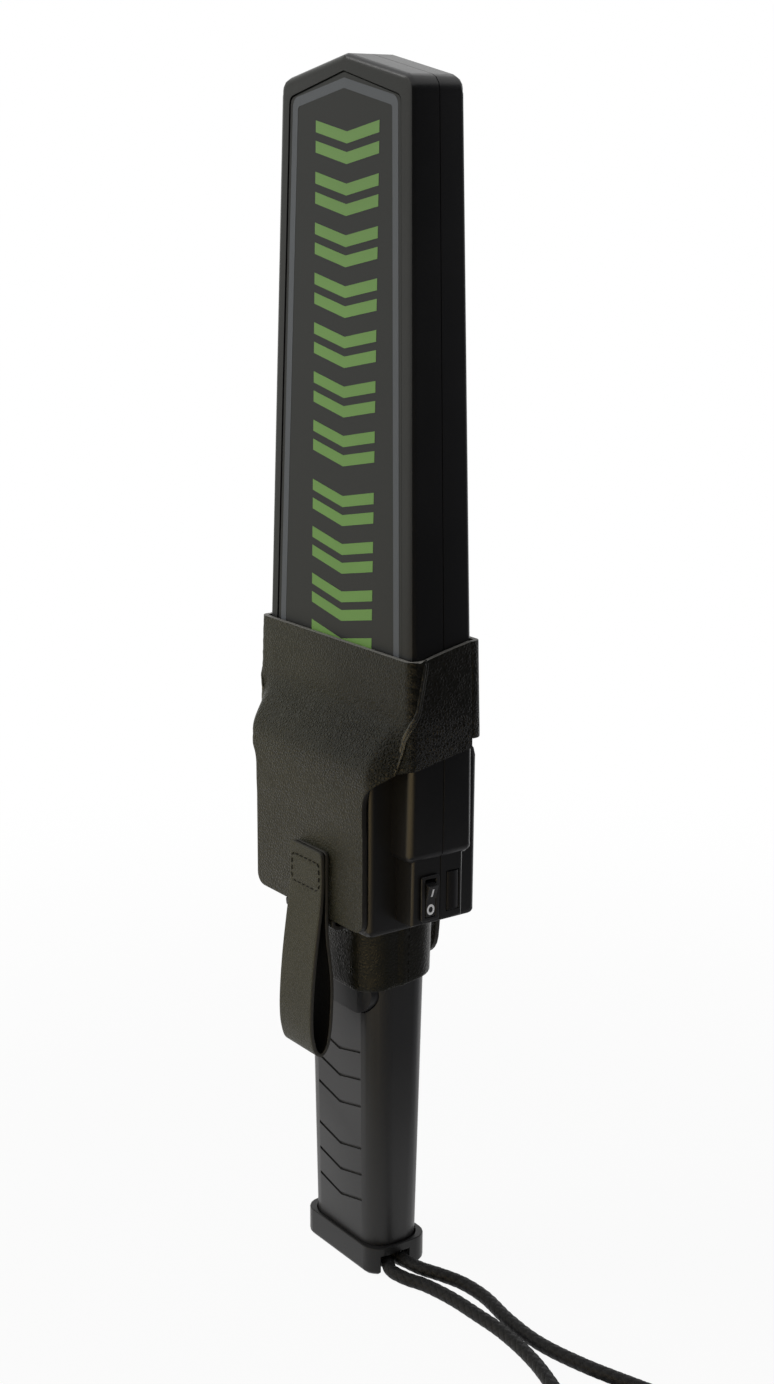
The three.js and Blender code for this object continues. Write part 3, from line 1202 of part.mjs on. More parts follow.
addPiece('coil_former', coilFormer(), 'former');
addPiece('coil_winding', coilWinding(), 'copper');
addPiece('coil_lead', coilLead(), 'black');
addPiece('main_board', mainBoard(), 'board');
addPiece('control_chip', onBoard(CHIP.x, CHIP.z, CHIP.size, CHIP.size, CHIP.height), 'black');
addPiece('amplifier_chip', onBoard(AMPLIFIER.x, AMPLIFIER.z, AMPLIFIER.width, AMPLIFIER.length,
  AMPLIFIER.height), 'black');
CAPACITOR.xs.forEach((x, i) => addPiece(`capacitor_${i + 1}`, capacitor(x), 'black'));
addPiece('coil_socket', onBoard(SOCKET.x, SOCKET.z, SOCKET.width, SOCKET.height, SOCKET.depth), 'former');
addPiece('motor_can', motorCan(), 'steel');
addPiece('motor_weight', motorWeight(), 'steel');
addPiece('motor_clip', motorClip(), 'steel');
addPiece('speaker_basket', speakerBasket(), 'black');
addPiece('speaker_cone', speakerCone(), 'paper');
addPiece('speaker_lead_1', speakerLead(-1), 'red');
addPiece('speaker_lead_2', speakerLead(1), 'black');

addPiece('lamp_red', lamp(LAMP.heights[0]), 'lampRed');
addPiece('lamp_amber', lamp(LAMP.heights[1]), 'lampAmber');
addPiece('lamp_green', lamp(LAMP.heights[2]), 'lampGreen');
addPiece('lamp_window', lampWindow(), 'smoked');
addPiece('rocker_body', rockerBody(), 'black');
addPiece('rocker', rockerKey(), 'black');
addPiece('rocker_pin', rockerPin(), 'steel');
addPiece('switch_lead_1', switchLead(-1), 'red');
addPiece('switch_lead_2', switchLead(1), 'black');

addPiece('grip_tube', gripTube(), 'grip');
addPiece('thumb_button', thumbButton(), 'grip');
addPiece('key_switch', keySwitch(), 'black');
addPiece('key_plunger', keyPlunger(), 'black');
addPiece('battery_9v', battery(), 'battery');
addPiece('battery_snap', snapConnector(), 'black');
addPiece('battery_lead_red', batteryLead(-1), 'red');
addPiece('battery_lead_black', batteryLead(1), 'black');

addPiece('end_cap', endCap(), 'grip');
addPiece('battery_pad', box(-FOAM.halfWidth, FOAM.halfWidth, -FOAM.halfDepth, FOAM.halfDepth, foamZ,
  foamZ + FOAM.thickness), 'foam');
addPiece('lanyard_pin', lanyardPin(), 'steel');
addPiece('cord_ferrule', ferrule(), 'steel');
addPiece('wrist_cord', wristCord(), 'cord');

addPiece('sleeve_front_panel', sleeveFrontPanel(), 'leather');
addPiece('sleeve_rear_panel', sleeveRearPanel(), 'leather');
addPiece('side_band_right', sideBand(1), 'leather');
addPiece('side_band_left', sideBand(-1), 'leather');
addPiece('neck_band', neckBand(), 'leather');
addPiece('belt_loop', beltLoop(), 'leather');
addPiece('rear_tab', rearTab(), 'leather');

export default wand;
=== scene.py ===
"""Looks of a hand-held metal detector wand that stands on its end cap in a leather belt sleeve."""

import math

import bmesh
import bpy
from mathutils import Matrix, Vector, noise


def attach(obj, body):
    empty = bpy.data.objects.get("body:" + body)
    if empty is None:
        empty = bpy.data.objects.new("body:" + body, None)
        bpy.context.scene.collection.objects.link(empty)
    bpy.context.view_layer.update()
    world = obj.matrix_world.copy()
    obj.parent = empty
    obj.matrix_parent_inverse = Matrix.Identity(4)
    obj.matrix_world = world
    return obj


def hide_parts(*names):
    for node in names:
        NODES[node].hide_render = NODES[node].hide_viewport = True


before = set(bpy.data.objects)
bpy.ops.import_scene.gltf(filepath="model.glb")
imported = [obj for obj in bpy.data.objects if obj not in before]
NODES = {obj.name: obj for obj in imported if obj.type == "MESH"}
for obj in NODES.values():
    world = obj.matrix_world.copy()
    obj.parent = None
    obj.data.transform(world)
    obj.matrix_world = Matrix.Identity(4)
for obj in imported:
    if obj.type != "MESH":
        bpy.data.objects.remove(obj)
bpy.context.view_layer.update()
MM = 0.001

bl_info = {
    "name": "Metal Detector Wand",
    "version": (1, 0, 0),
    "blender": (4, 5, 0),
    "location": "View3D > Sidebar > Wand",
    "description": "Dresses the packed wand in its plastics, leather sleeve, stitches and wrist cord",
    "category": "Object",
}

# Sizes of the case and the leather in millimetres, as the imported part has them.
GAP = 0.3
TOP_Z, SHOULDER_Z, PADDLE_LOW_Z, PADDLE_BOTTOM_Z = 410.0, 402.5, 200.0, 158.5
HALF_WIDTH_TOP, HALF_WIDTH_LOW = 35.4, 42.2
FRONT_TOP, FRONT_LOW, REAR_TOP, REAR_LOW = 10.3, 13.5, 9.9, 12.6
HOUSING_DEPTH = 22.3
LABEL_FACE = 0.3
GRIP_TOP_Z, GRIP_BOTTOM_Z, GRIP_RADIUS = 131.3, 8.7, 8.0
GRIP_TOP, GRIP_BOTTOM = (21.7, 12.5), (20.2, 10.6)
SLEEVE_TOP_Z, SLEEVE_BOTTOM_Z, SLEEVE_REAR_TOP_Z, SLEEVE_REAR_LOW_Z = 226.0, 133.8, 230.0, 198.0
SEAM_LOW_Z = 189.5
PUCKER_PITCH = 3.3
RISE_TOP_Z, RISE_LOW_Z, PLATEAU_X = 207.0, 188.0, 32.6
FOLD = 1.2
BAND_REAR_LOW_Z = 195.0
LOOP_X, LOOP_HALF, LOOP_TOP_Z, LOOP_LOW_Z, LOOP_NECK_Z, LOOP_SWING = 3.4, 9.5, 157.3, 85.6, 129.0, 4.6
LOOP_DEPTH_SHARES = (0, 0, 0.14, 0.36, 0.72, 0.94, 0.98, 0.86, 0.52, 0.1, -0.34, -0.6, -0.76, -0.78)
LOOP_HEIGHT_SHARES = (1, 0.83, 0.72, 0.62, 0.44, 0.27, 0.16, 0.08, 0.015, 0, 0.03, 0.1, 0.22, 0.36)
NECK_FRONT_Z, NECK_REAR_Z, NECK_TOP_Z, NECK_TONGUE = 107.4, 110.5, 131.0, 14.0
TAB_HALF, TAB_TOP_Z, TAB_LOW_Z, TAB_HANG_Z, TAB_DRAW = 10.0, 223.0, 109.0, 131.0, 1.8
BUTTON_PROUD = 1.7
LEATHER, STRAP_LEATHER = 1.8, 1.4

# Limits for a node's own form: doubles in metres, flat edges in degrees, and the case's coarse upright
# corners, which are long, about 45 degrees sharp and get a wider rounding in millimetres.
MERGE = 1e-6
FLAT_ANGLE = 0.6
COARSE_LENGTH, COARSE_ANGLE, COARSE_EDGE = 20, (40, 50), 0.75

# Places in metres where the leather's tone changes: the wrinkles grow and fade upwards, painted shade darkens the
# panel up to the right, and painted shade darkens the sides.
WRINKLES_FROM, WRINKLES_TO = (0.180, 0.196), (0.212, 0.198)
SHADED_X, SHADED_Z, SIDE_SHADE_X = (-0.03, 0.024), (0.168, 0.196), (0.0425, 0.044)

# The wrist cord's middle line in millimetres, from its front end in the ferrule round to its rear end.
CORD_ROUTE = (
    (17.8, -5.1, 3.6), (20.2, -5.1, 3.6),
    (24, -6.2, 2.75), (31, -5, 2.5), (38, -2.1, 2.4), (50, 0.2, 2.4), (63, 1, 2.4), (77, 1.3, 2.4),
    (96, -1.2, 2.4), (122, -9, 2.4), (148, -16, 2.4), (172, -15.5, 2.4), (190, -3, 2.4), (192, 14, 2.4),
    (179, 26, 2.4), (158, 27.5, 2.4), (132, 19, 2.4), (106, 10.4, 2.4), (88, 7, 2.4), (72, 7.6, 2.4),
    (56, 9.8, 2.6), (46, 8.4, 3.3), (39, 4.9, 4.2), (31.5, 1, 4.7), (24.5, -0.2, 4.5),
    (20.2, 0, 3.6), (17.8, 0, 3.6),
)


class WandSizes(bpy.types.PropertyGroup):
    """Sizes of the leather, the thread and the cord."""

    leather: bpy.props.FloatProperty(
        name="Leather", description="Thickness of the sleeve's leather", default=1.8 * MM, min=0.0, unit="LENGTH")
    strap: bpy.props.FloatProperty(
        name="Strap", description="Thickness of the belt loop's leather", default=1.4 * MM, min=0.0, unit="LENGTH")
    neck: bpy.props.FloatProperty(
        name="Neck band", description="Thickness of the neck band's leather", default=1.5 * MM, min=0.0,
        unit="LENGTH")
    stitch_pitch: bpy.props.FloatProperty(
        name="Stitch pitch", description="From one stitch to the next", default=2.6 * MM, min=0.0, unit="LENGTH")
    stitch_length: bpy.props.FloatProperty(
        name="Stitch length", description="Length of the thread that shows", default=1.8 * MM, min=0.0, unit="LENGTH")
    thread: bpy.props.FloatProperty(
        name="Thread", description="Thickness of the sewing thread", default=0.42 * MM, min=0.0, unit="LENGTH")
    cord: bpy.props.FloatProperty(
        name="Cord", description="Diameter of the wrist cord", default=4.7 * MM, min=0.0, unit="LENGTH")
    mark_pitch: bpy.props.FloatProperty(
        name="Mark pitch", description="From one pair of chevrons to the next", default=15.7 * MM, min=0.0,
        unit="LENGTH")


class WandColours(bpy.types.PropertyGroup):
    """Colours of the wand's finishes."""

    casing: bpy.props.FloatVectorProperty(
        name="Casing", description="Black moulded case", subtype="COLOR", size=3, default=(0.007, 0.007, 0.0073))
    grip: bpy.props.FloatVectorProperty(
        name="Grip", description="Grey moulded grip", subtype="COLOR", size=3, default=(0.017, 0.017, 0.0178))
    leather: bpy.props.FloatVectorProperty(
        name="Leather", description="Olive-brown leather", subtype="COLOR", size=3, default=(0.030, 0.0285, 0.0165))
    edge: bpy.props.FloatVectorProperty(
        name="Cut edge", description="Raw edge of the leather", subtype="COLOR", size=3, default=(0.2, 0.195, 0.18))
    label: bpy.props.FloatVectorProperty(
        name="Label", description="Ground of the label plates", subtype="COLOR", size=3,
        default=(0.012, 0.0125, 0.012))
    border: bpy.props.FloatVectorProperty(
        name="Border", description="Printed border of the label plates", subtype="COLOR", size=3,
        default=(0.07, 0.076, 0.084))
    marks: bpy.props.FloatVectorProperty(
        name="Marks", description="Printed chevrons of the label plates", subtype="COLOR", size=3,
        default=(0.12, 0.245, 0.052))


# Shared numbers and shapes.

CURVE_STEPS = 24


def share_of(value, low, high):
    """How far a value lies from low to high, kept between 0 and 1."""
    return min(max((value - low) / (high - low), 0.0), 1.0)


def smooth_step(value, low, high):
    share = share_of(value, low, high)
    return share * share * (3 - 2 * share)


def mix(a, b, share):
    return a + (b - a) * share


def spread(low, high, count):
    return [mix(low, high, i / (count - 1)) for i in range(count)]


def paddle_half(z):
    return mix(HALF_WIDTH_LOW, HALF_WIDTH_TOP, share_of(z, PADDLE_LOW_Z, SHOULDER_Z))


def front_depth(z):
    return mix(FRONT_LOW, FRONT_TOP, (z - PADDLE_BOTTOM_Z) / (SHOULDER_Z - PADDLE_BOTTOM_Z))


def rear_depth(z):
    return mix(REAR_LOW, REAR_TOP, (z - PADDLE_BOTTOM_Z) / (SHOULDER_Z - PADDLE_BOTTOM_Z))


def grip_half(z):
    share = (z - GRIP_BOTTOM_Z) / (GRIP_TOP_Z - GRIP_BOTTOM_Z)
    return mix(GRIP_BOTTOM[0], GRIP_TOP[0], share), mix(GRIP_BOTTOM[1], GRIP_TOP[1], share)


def heading(line, i):
    """The direction of a line of places at one of them."""
    return (line[min(i + 1, len(line) - 1)] - line[max(i - 1, 0)]).normalized()


def smooth_curve(places, count):
    """Evenly spaced places on a centripetal curve through the given ones, and the curve's length."""
    pts = [Vector(p) for p in places]
    pts = [pts[0] * 2 - pts[1]] + pts + [pts[-1] * 2 - pts[-2]]
    fine = []
    for i in range(1, len(pts) - 2):
        near, times = pts[i - 1:i + 3], [0.0]
        for a, b in zip(near, near[1:]):
            times.append(times[-1] + (b - a).length ** 0.5)
        for k in range(CURVE_STEPS):
            t = mix(times[1], times[2], k / CURVE_STEPS)

            def between(a, b, start, end):
                return a * ((end - t) / (end - start)) + b * ((t - start) / (end - start))

            spans = [between(near[j], near[j + 1], times[j], times[j + 1]) for j in range(3)]
            bends = [between(spans[j], spans[j + 1], times[j], times[j + 2]) for j in range(2)]
            fine.append(between(*bends, times[1], times[2]))
    fine.append(pts[-2])
    lengths = [0.0]
    for a, b in zip(fine, fine[1:]):
        lengths.append(lengths[-1] + (b - a).length)
    result, j = [], 0
    for i in range(count):
        target = lengths[-1] * i / (count - 1)
        while j < len(lengths) - 2 and lengths[j + 1] < target:
            j += 1
        step = lengths[j + 1] - lengths[j]
        result.append(fine[j].lerp(fine[j + 1], 0.0 if step == 0 else (target - lengths[j]) / step))
    return result, lengths[-1]


# Objects and finishes.

FINISHES = {}


def add_object(name, data):
    made = bpy.data.objects.new(name, data)
    bpy.context.scene.collection.objects.link(made)
    return made


def mesh_object(name, places, faces, finishes, edges=()):
    """A mesh from places in millimetres, its materials named by their finishes."""
    mesh = bpy.data.meshes.new(name)
    mesh.from_pydata([Vector(p) * MM for p in places], edges, faces)
    for finish in finishes:
        mesh.materials.append(FINISHES[finish])
    mesh.validate()
    return add_object(name, mesh)


def smooth_faces(mesh):
    mesh.polygons.foreach_set("use_smooth", [True] * len(mesh.polygons))


def settle(piece, angle=None):
    """Turns live modifiers into a plain mesh, smoothed up to an angle where one is given."""
    depsgraph = bpy.context.evaluated_depsgraph_get()
    mesh = bpy.data.meshes.new_from_object(piece.evaluated_get(depsgraph))
    mesh.name = piece.name
    piece.modifiers.clear()
    piece.data = mesh
    if angle is not None:
        smooth_faces(mesh)
        mesh.set_sharp_from_angle(angle=math.radians(angle))
    return piece


def seat(piece, body, slot, *nodes):
    """Rides a finished piece on a body and hides the nodes that it stands for; the slot is not used."""
    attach(piece, body)
    if nodes:
        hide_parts(*nodes)
    return piece


def outward(piece):
    """Merges a closed piece's doubles and turns its faces outwards."""
    made = bmesh.new()
    made.from_mesh(piece.data)
    bmesh.ops.remove_doubles(made, verts=made.verts, dist=MERGE)
    bmesh.ops.recalc_face_normals(made, faces=made.faces)
    made.to_mesh(piece.data)
    made.free()
    return piece


def grid_faces(rows, columns, closed=False):
    faces = []
    for r in range(rows - 1):
        for c in range(columns if closed else columns - 1):
            a, b = r * columns + c, r * columns + (c + 1) % columns
            faces.append((a, b, b + columns, a + columns))
    return faces


def tube_faces(rings, sides):
    """Faces round a tube of rings, with a cap on both ends."""
    last = (rings - 1) * sides
    return grid_faces(rings, sides, True) + [tuple(range(sides)), tuple(range(last, last + sides))]


def prism_faces(base, count, caps):
    """Faces between two outlines, the second right behind the first, and the caps on both."""
    faces = [tuple(base + k for k in cap) for cap in caps]
    faces += [tuple(base + count + k for k in reversed(cap)) for cap in caps]
    for i in range(count):
        a, b = base + i, base + (i + 1) % count
        faces.append((a, a + count, b + count, b))
    return faces


def soften(piece, width, angle):
    """Rounds the edges that are sharper than an angle, by a width in millimetres."""
    bevel = piece.modifiers.new("edge", "BEVEL")
    bevel.width = width * MM
    bevel.segments = 2
    bevel.limit_method = "ANGLE"
    bevel.angle_limit = math.radians(angle)
    bevel.use_clamp_overlap = True


def leather_sheet(name, grid, thickness, finishes, closed=False, edge=0.22, inner=0):
    """A sheet of leather over rows of places on its inner face, with a cut edge in its own finish."""
    piece = mesh_object(name, [p for row in grid for p in row],
                        grid_faces(len(grid), len(grid[0]), closed), finishes)
    wall = piece.modifiers.new("thickness", "SOLIDIFY")
    wall.thickness = thickness
    wall.offset = 1.0
    wall.use_even_offset = True
    wall.material_offset_rim = 1
    wall.material_offset = inner
    soften(piece, edge, 60)
    return settle(piece, 50)


def moulded(name, node, finish, edge):
    """A moulded piece from a node's own form: its coarse upright corners rounded, its edges softened."""
    mesh = NODES[node].data.copy()
    made = bmesh.new()
    made.from_mesh(mesh)
    bmesh.ops.remove_doubles(made, verts=made.verts, dist=2 * MERGE)
    bmesh.ops.dissolve_limit(
        made, angle_limit=math.radians(FLAT_ANGLE), verts=made.verts, edges=made.edges, delimit=set())
    coarse = [e for e in made.edges if len(e.link_faces) == 2 and e.is_convex and e.calc_length() > COARSE_LENGTH * MM
              and COARSE_ANGLE[0] < math.degrees(e.calc_face_angle(0)) < COARSE_ANGLE[1]]
    if coarse:
        bmesh.ops.bevel(made, geom=coarse, offset=COARSE_EDGE * MM, offset_type="OFFSET", segments=3, profile=0.5,
                        affect="EDGES", clamp_overlap=False)
    made.to_mesh(mesh)
    made.free()
    mesh.materials.clear()
    mesh.materials.append(FINISHES[finish])
    smooth_faces(mesh)
    piece = add_object(name, mesh)
    soften(piece, edge, 32)
    weigh = piece.modifiers.new("normals", "WEIGHTED_NORMAL")
    weigh.keep_sharp = True
    return settle(piece)


# Node trees.

def wire(tree, node, values):
    """Feeds a node's inputs: a socket is linked, a plain value is set, a colour gets its alpha."""
    for key, value in values.items():
        socket = node.inputs[key]
        if isinstance(value, bpy.types.NodeSocket):
            tree.links.new(value, socket)
        elif value is not None:
            socket.default_value = (*value, 1.0) if socket.type == "RGBA" and len(value) == 3 else value


def new_node(tree, kind, values=None, **settings):
    """A node with its settings made and its inputs fed."""
    made = tree.nodes.new(kind)
    for name, value in settings.items():
        setattr(made, name, value)
    wire(tree, made, values or {})
    return made


def group_tree(name, kind, inputs, outputs):
    """A node group, with the sockets that come in and those that go out."""
    tree = bpy.data.node_groups.new(name, kind)
    for label, (socket_kind, value) in inputs.items():
        socket = tree.interface.new_socket(label, in_out="INPUT", socket_type=f"NodeSocket{socket_kind}")
        if value is not None:
            socket.default_value = value
    for label, socket_kind in outputs.items():
        tree.interface.new_socket(label, in_out="OUTPUT", socket_type=f"NodeSocket{socket_kind}")
    return tree, tree.nodes.new("NodeGroupInput").outputs, tree.nodes.new("NodeGroupOutput")


def math_node(tree, operation, a, b=None):
    return new_node(tree, "ShaderNodeMath", {0: a, 1: b}, operation=operation).outputs[0]


def ramp(tree, value, low, high, low_value=0.0, high_value=1.0):
    return new_node(tree, "ShaderNodeMapRange", {0: value, 1: low, 2: high, 3: low_value, 4: high_value},
                    interpolation_type="SMOOTHSTEP").outputs[0]


def colour_mix(tree, share, a, b):
    return new_node(tree, "ShaderNodeMix", {0: share, 6: a, 7: b}, data_type="RGBA").outputs[2]


def noise_node(tree, vector, scale, detail=2.0, roughness=0.5):
    return new_node(tree, "ShaderNodeTexNoise",
                    {"Vector": vector, "Scale": scale, "Detail": detail, "Roughness": roughness}).outputs


def split_place(tree, place):
    return new_node(tree, "ShaderNodeSeparateXYZ", {0: place}).outputs


def pebble_group():
    """Pebble grain of leather: rounded cells between creases, softly bent."""
    tree, given, end = group_tree(
        "Pebble grain", "ShaderNodeTree",
        {"Vector": ("Vector", None), "Cells": ("Float", 900.0), "Stretch": ("Float", 0.0)},
        {"Height": "Float", "Crease": "Float", "Tone": "Float"})
    place = given["Vector"]
    bent = new_node(
        tree, "ShaderNodeVectorMath", {0: noise_node(tree, place, 420.0)["Color"], 1: (0.0009,) * 3, 2: place},
        operation="MULTIPLY_ADD")
    rim = new_node(tree, "ShaderNodeTexVoronoi", {"Vector": bent.outputs[0], "Scale": given["Cells"]},
                   feature="DISTANCE_TO_EDGE").outputs["Distance"]
    pebble = ramp(tree, rim, 0.0, 0.36)
    wide = noise_node(tree, place, 140.0, 3.0)["Fac"]
    fine = noise_node(tree, place, 2600.0, 1.0)["Fac"]
    height = math_node(tree, "MULTIPLY", pebble, math_node(tree, "ADD", wide, 0.35))
    height = math_node(tree, "ADD", height, math_node(tree, "MULTIPLY", fine, 0.04))
    stretch = math_node(tree, "MULTIPLY", given["Stretch"], pebble)
    wire(tree, end, {
        "Height": math_node(tree, "ADD", height, stretch),
        "Crease": ramp(tree, rim, 0.12, 0.0),
        "Tone": ramp(tree, noise_node(tree, place, 26.0, 4.0, 0.6)["Fac"], 0.34, 0.68)})
    return tree


def moulding_group():
    """Fine spark-eroded texture of moulded plastic, with slow changes of tone and gloss."""
    tree, given, end = group_tree(
        "Moulded grain", "ShaderNodeTree", {"Vector": ("Vector", None), "Grain": ("Float", 3000.0)},
        {"Height": "Float", "Tone": "Float", "Scuff": "Float"})
    place = given["Vector"]
    wire(tree, end, {
        "Height": noise_node(tree, place, given["Grain"], 2.0, 0.6)["Fac"],
        "Tone": ramp(tree, noise_node(tree, place, 18.0, 3.0)["Fac"], 0.3, 0.7),
        "Scuff": ramp(tree, noise_node(tree, place, 95.0, 6.0, 0.72)["Fac"], 0.6, 0.78)})
    return tree


def use_group(tree, group, vector, **values):
    return new_node(tree, "ShaderNodeGroup", {"Vector": vector, **values}, node_tree=group).outputs


def new_material(name):
    """Starts a finish under its name: its node tree, its shader and the piece's own coordinates."""
    made = FINISHES[name] = bpy.data.materials.new(name)
    made.use_nodes = True
    tree = made.node_tree
    return tree, tree.nodes["Principled BSDF"], tree.nodes.new("ShaderNodeTexCoord").outputs["Object"]


def add_bump(tree, shader, height, distance):
    bump = new_node(tree, "ShaderNodeBump", {"Strength": 1.0, "Distance": distance, "Height": height})
    wire(tree, shader, {"Normal": bump.outputs[0]})


def shades(colour, *factors):
    """The colour times each factor, none over 1."""
    return [[min(1.0, value * factor) for value in colour] for factor in factors]


def plastic(name, colour, roughness, group, grain=3000.0, depth=0.00003, metallic=0.0, vary=0.18, coat=0.0,
            shine=0.5):
    """Moulded plastic, rubber, enamel or metal with a fine grain."""
    tree, shader, place = new_material(name)
    marks = use_group(tree, group, place, Grain=grain)
    gloss = ramp(tree, marks["Tone"], 0.0, 1.0, roughness - 0.03, roughness + 0.03)
    wire(tree, shader, {
        "Metallic": metallic, "Coat Weight": coat, "Specular IOR Level": shine,
        "Base Color": colour_mix(tree, marks["Tone"], *shades(colour, 1 - vary, 1 + vary)),
        "Roughness": math_node(tree, "ADD", gloss, math_node(tree, "MULTIPLY", marks["Scuff"], 0.06))})
    add_bump(tree, shader, marks["Height"], depth)


def leather(name, colour, group, roughness, depth, cells, shine):
    """Grained leather with wrinkles where the panel steps down to the paddle, and painted shade: darker creases in
    the grain, up the panel's right and on its sides.
    """
    tree, shader, place = new_material(name)
    split = split_place(tree, place)
    wrinkle = math_node(
        tree, "MULTIPLY", ramp(tree, split["Z"], *WRINKLES_FROM), ramp(tree, split["Z"], *WRINKLES_TO))
    skin = use_group(tree, group, place, Cells=cells, Stretch=math_node(tree, "MULTIPLY", wrinkle, 1.8))
    sides, dark, ground, light = shades(colour, 0.2, 0.35, 0.96, 1.14)
    shaded = math_node(tree, "MULTIPLY", ramp(tree, split["X"], *SHADED_X), ramp(tree, split["Z"], *SHADED_Z))
    side_shade = ramp(tree, math_node(tree, "ABSOLUTE", split["X"]), *SIDE_SHADE_X)
    tone = colour_mix(tree, skin["Tone"], ground, light)
    # Painted shade: darker up the panel's right, on its sides and in the grain's creases.
    for mask, share, hue in ((shaded, 0.9, dark), (side_shade, 0.9, sides), (skin["Crease"], 0.6, dark)):
        tone = colour_mix(tree, math_node(tree, "MULTIPLY", mask, share), tone, hue)
    gloss = ramp(tree, skin["Tone"], 0.0, 1.0, roughness + 0.02, roughness - 0.02)
    wire(tree, shader, {
        "Specular IOR Level": shine, "Base Color": tone,
        "Roughness": math_node(tree, "ADD", gloss, math_node(tree, "MULTIPLY", skin["Crease"], 0.175))})
    add_bump(tree, shader, skin["Height"], depth)


def cut_edge(name, colour, group):
    """The fibrous cut edge of leather."""
    tree, shader, place = new_material(name)
    fibre = use_group(tree, group, place, Grain=1800.0)
    wire(tree, shader, {
        "Base Color": colour_mix(tree, fibre["Height"], *shades(colour, 0.45, 1.25)), "Roughness": 0.62})
    add_bump(tree, shader, fibre["Height"], 0.00008)


def braid_finish(name):
    """Black yarn with painted light: paler on its crowns and darker between them, as the braid's own attribute gives.
    """
    tree, shader, place = new_material(name)
    lay = new_node(tree, "ShaderNodeAttribute", attribute_name="lay").outputs["Fac"]
    fuzz = noise_node(tree, place, 2400.0)["Fac"]
    wire(tree, shader, {
        "Base Color": colour_mix(tree, ramp(tree, lay, 0.15, 0.95), (0.0008, 0.0008, 0.0009), (0.009, 0.009, 0.0095)),
        "Roughness": 0.5, "Specular IOR Level": 0.16, "Sheen Weight": 0.02})
    add_bump(tree, shader, math_node(tree, "ADD", lay, math_node(tree, "MULTIPLY", fuzz, 0.5)), 0.00008)


def make_finishes(colours):
    """All finishes, by the record's slot names and those of the sewn and printed pieces."""
    pebble, grain = pebble_group(), moulding_group()
    # Painted light: the button is a lighter copy of the grip for its lit end; the cap is a darker copy.
    button, cap = shades(colours.grip, 1.6, 0.7)
    # Copies of the leather: the welts lighter as a painted highlight on the seam's ridge, the neck band darker as
    # painted shade, the strap a little lighter.
    sleeve, welts, neck, strap = shades(colours.leather, 0.76, 1.4, 0.34, 1.2)

    leather("leather", sleeve, pebble, 0.33, 0.00014, 860.0, 0.22)
    leather("welt_leather", welts, pebble, 0.3, 0.00004, 820.0, 0.6)
    leather("neck_leather", neck, pebble, 0.28, 0.00007, 860.0, 0.2)
    leather("strap_leather", strap, pebble, 0.4, 0.0001, 1300.0, 0.2)
    for name, colour in (
            ("cut_edge", colours.edge), ("dark_edge", (0.006,) * 3), ("strap_edge", (0.03, 0.028, 0.022))):
        cut_edge(name, colour, grain)
    for name, colour, roughness, scale, depth, shine in (
            ("casing", colours.casing, 0.34, 2600.0, 0.00003, 0.4),
            ("grip", colours.grip, 0.4, 3200.0, 0.00002, 0.35),
            ("button", button, 0.34, 3200.0, 0.00001, 0.18), ("cap", cap, 0.36, 3200.0, 0.00002, 0.24),
            # The loop's flesh side is near black, as painted shade inside the loop.
            ("flesh_side_shade", (0.003, 0.0028, 0.0024), 0.9, 1200.0, 0.0001, 0.1),
            ("thread", (0.006, 0.0058, 0.005), 0.8, 5000.0, 0.00005, 0.15),
            ("smoked", (0.006, 0.006, 0.007), 0.42, 2000.0, 0.000004, 0.25),
            ("paper", (0.02,) * 3, 0.85, 900.0, 0.0001, 0.5), ("foam", (0.02,) * 3, 0.95, 1100.0, 0.0004, 0.5)):
        plastic(name, colour, roughness, grain, scale, depth, shine=shine)
    for name, colour, roughness, vary, shine in (
            ("label", colours.label, 0.42, 0.06, 0.3), ("border", colours.border, 0.45, 0.05, 0.3),
            ("marks", colours.marks, 0.45, 0.06, 0.3), ("white_mark", (0.94,) * 3, 0.4, 0.02, 0.5)):
        plastic(name, colour, roughness, grain, 3600.0, 0.00001, vary=vary, shine=shine)
    for name, colour, roughness, more in (
            ("former", (0.66, 0.63, 0.56), 0.5, {}), ("board", (0.016, 0.11, 0.045), 0.35, {"coat": 0.4}),
            ("black_plastic", (0.008, 0.008, 0.0085), 0.4, {}), ("red_plastic", (0.35, 0.02, 0.015), 0.4, {}),
            ("lamp_red", (0.4, 0.02, 0.015), 0.1, {"coat": 0.6}),
            ("lamp_amber", (0.6, 0.27, 0.02), 0.1, {"coat": 0.6}),
            ("lamp_green", (0.03, 0.35, 0.05), 0.1, {"coat": 0.6}),
            ("battery", (0.1, 0.105, 0.12), 0.32, {"metallic": 0.4})):
        plastic(name, colour, roughness, grain, **more)
    plastic("steel", (0.6,) * 3, 0.3, grain, 2400.0, 0.00001, 1.0)
    plastic("copper", (0.5, 0.2, 0.09), 0.35, grain, 1500.0, 0.00008, 0.9)
    braid_finish("cord")


# Stage. The camera's yaw, pitch and roll in radians, its place in millimetres, and the photo's focal
# length and height in pixels come from a fit to the photo's edges.
CAMERA_TURN = (0.942352, 0.257777, 0.00667294)
CAMERA_PLACE = (544.710, -387.997, 381.787)
FOCAL_PIXELS, FRAME_PIXELS, SENSOR = 2064.286, 1384, 36.0
KEY_PLACE, KEY_AIM, KEY_SIZE = (-0.75, -0.95, 0.85), (0, 0, 0.2), (0.9, 1.1)
KEY_POWER, KEY_COLOUR = 13.0, (1.0, 0.985, 0.96)
FLOOR_HALF, FLOOR_STEPS = 5000.0, 24
TENT_REACH, TENT_HEIGHTS, TENT_FOOT, TENT_STEPS = 360.0, (0.4, 300.0, 620.0), 110.0, 120

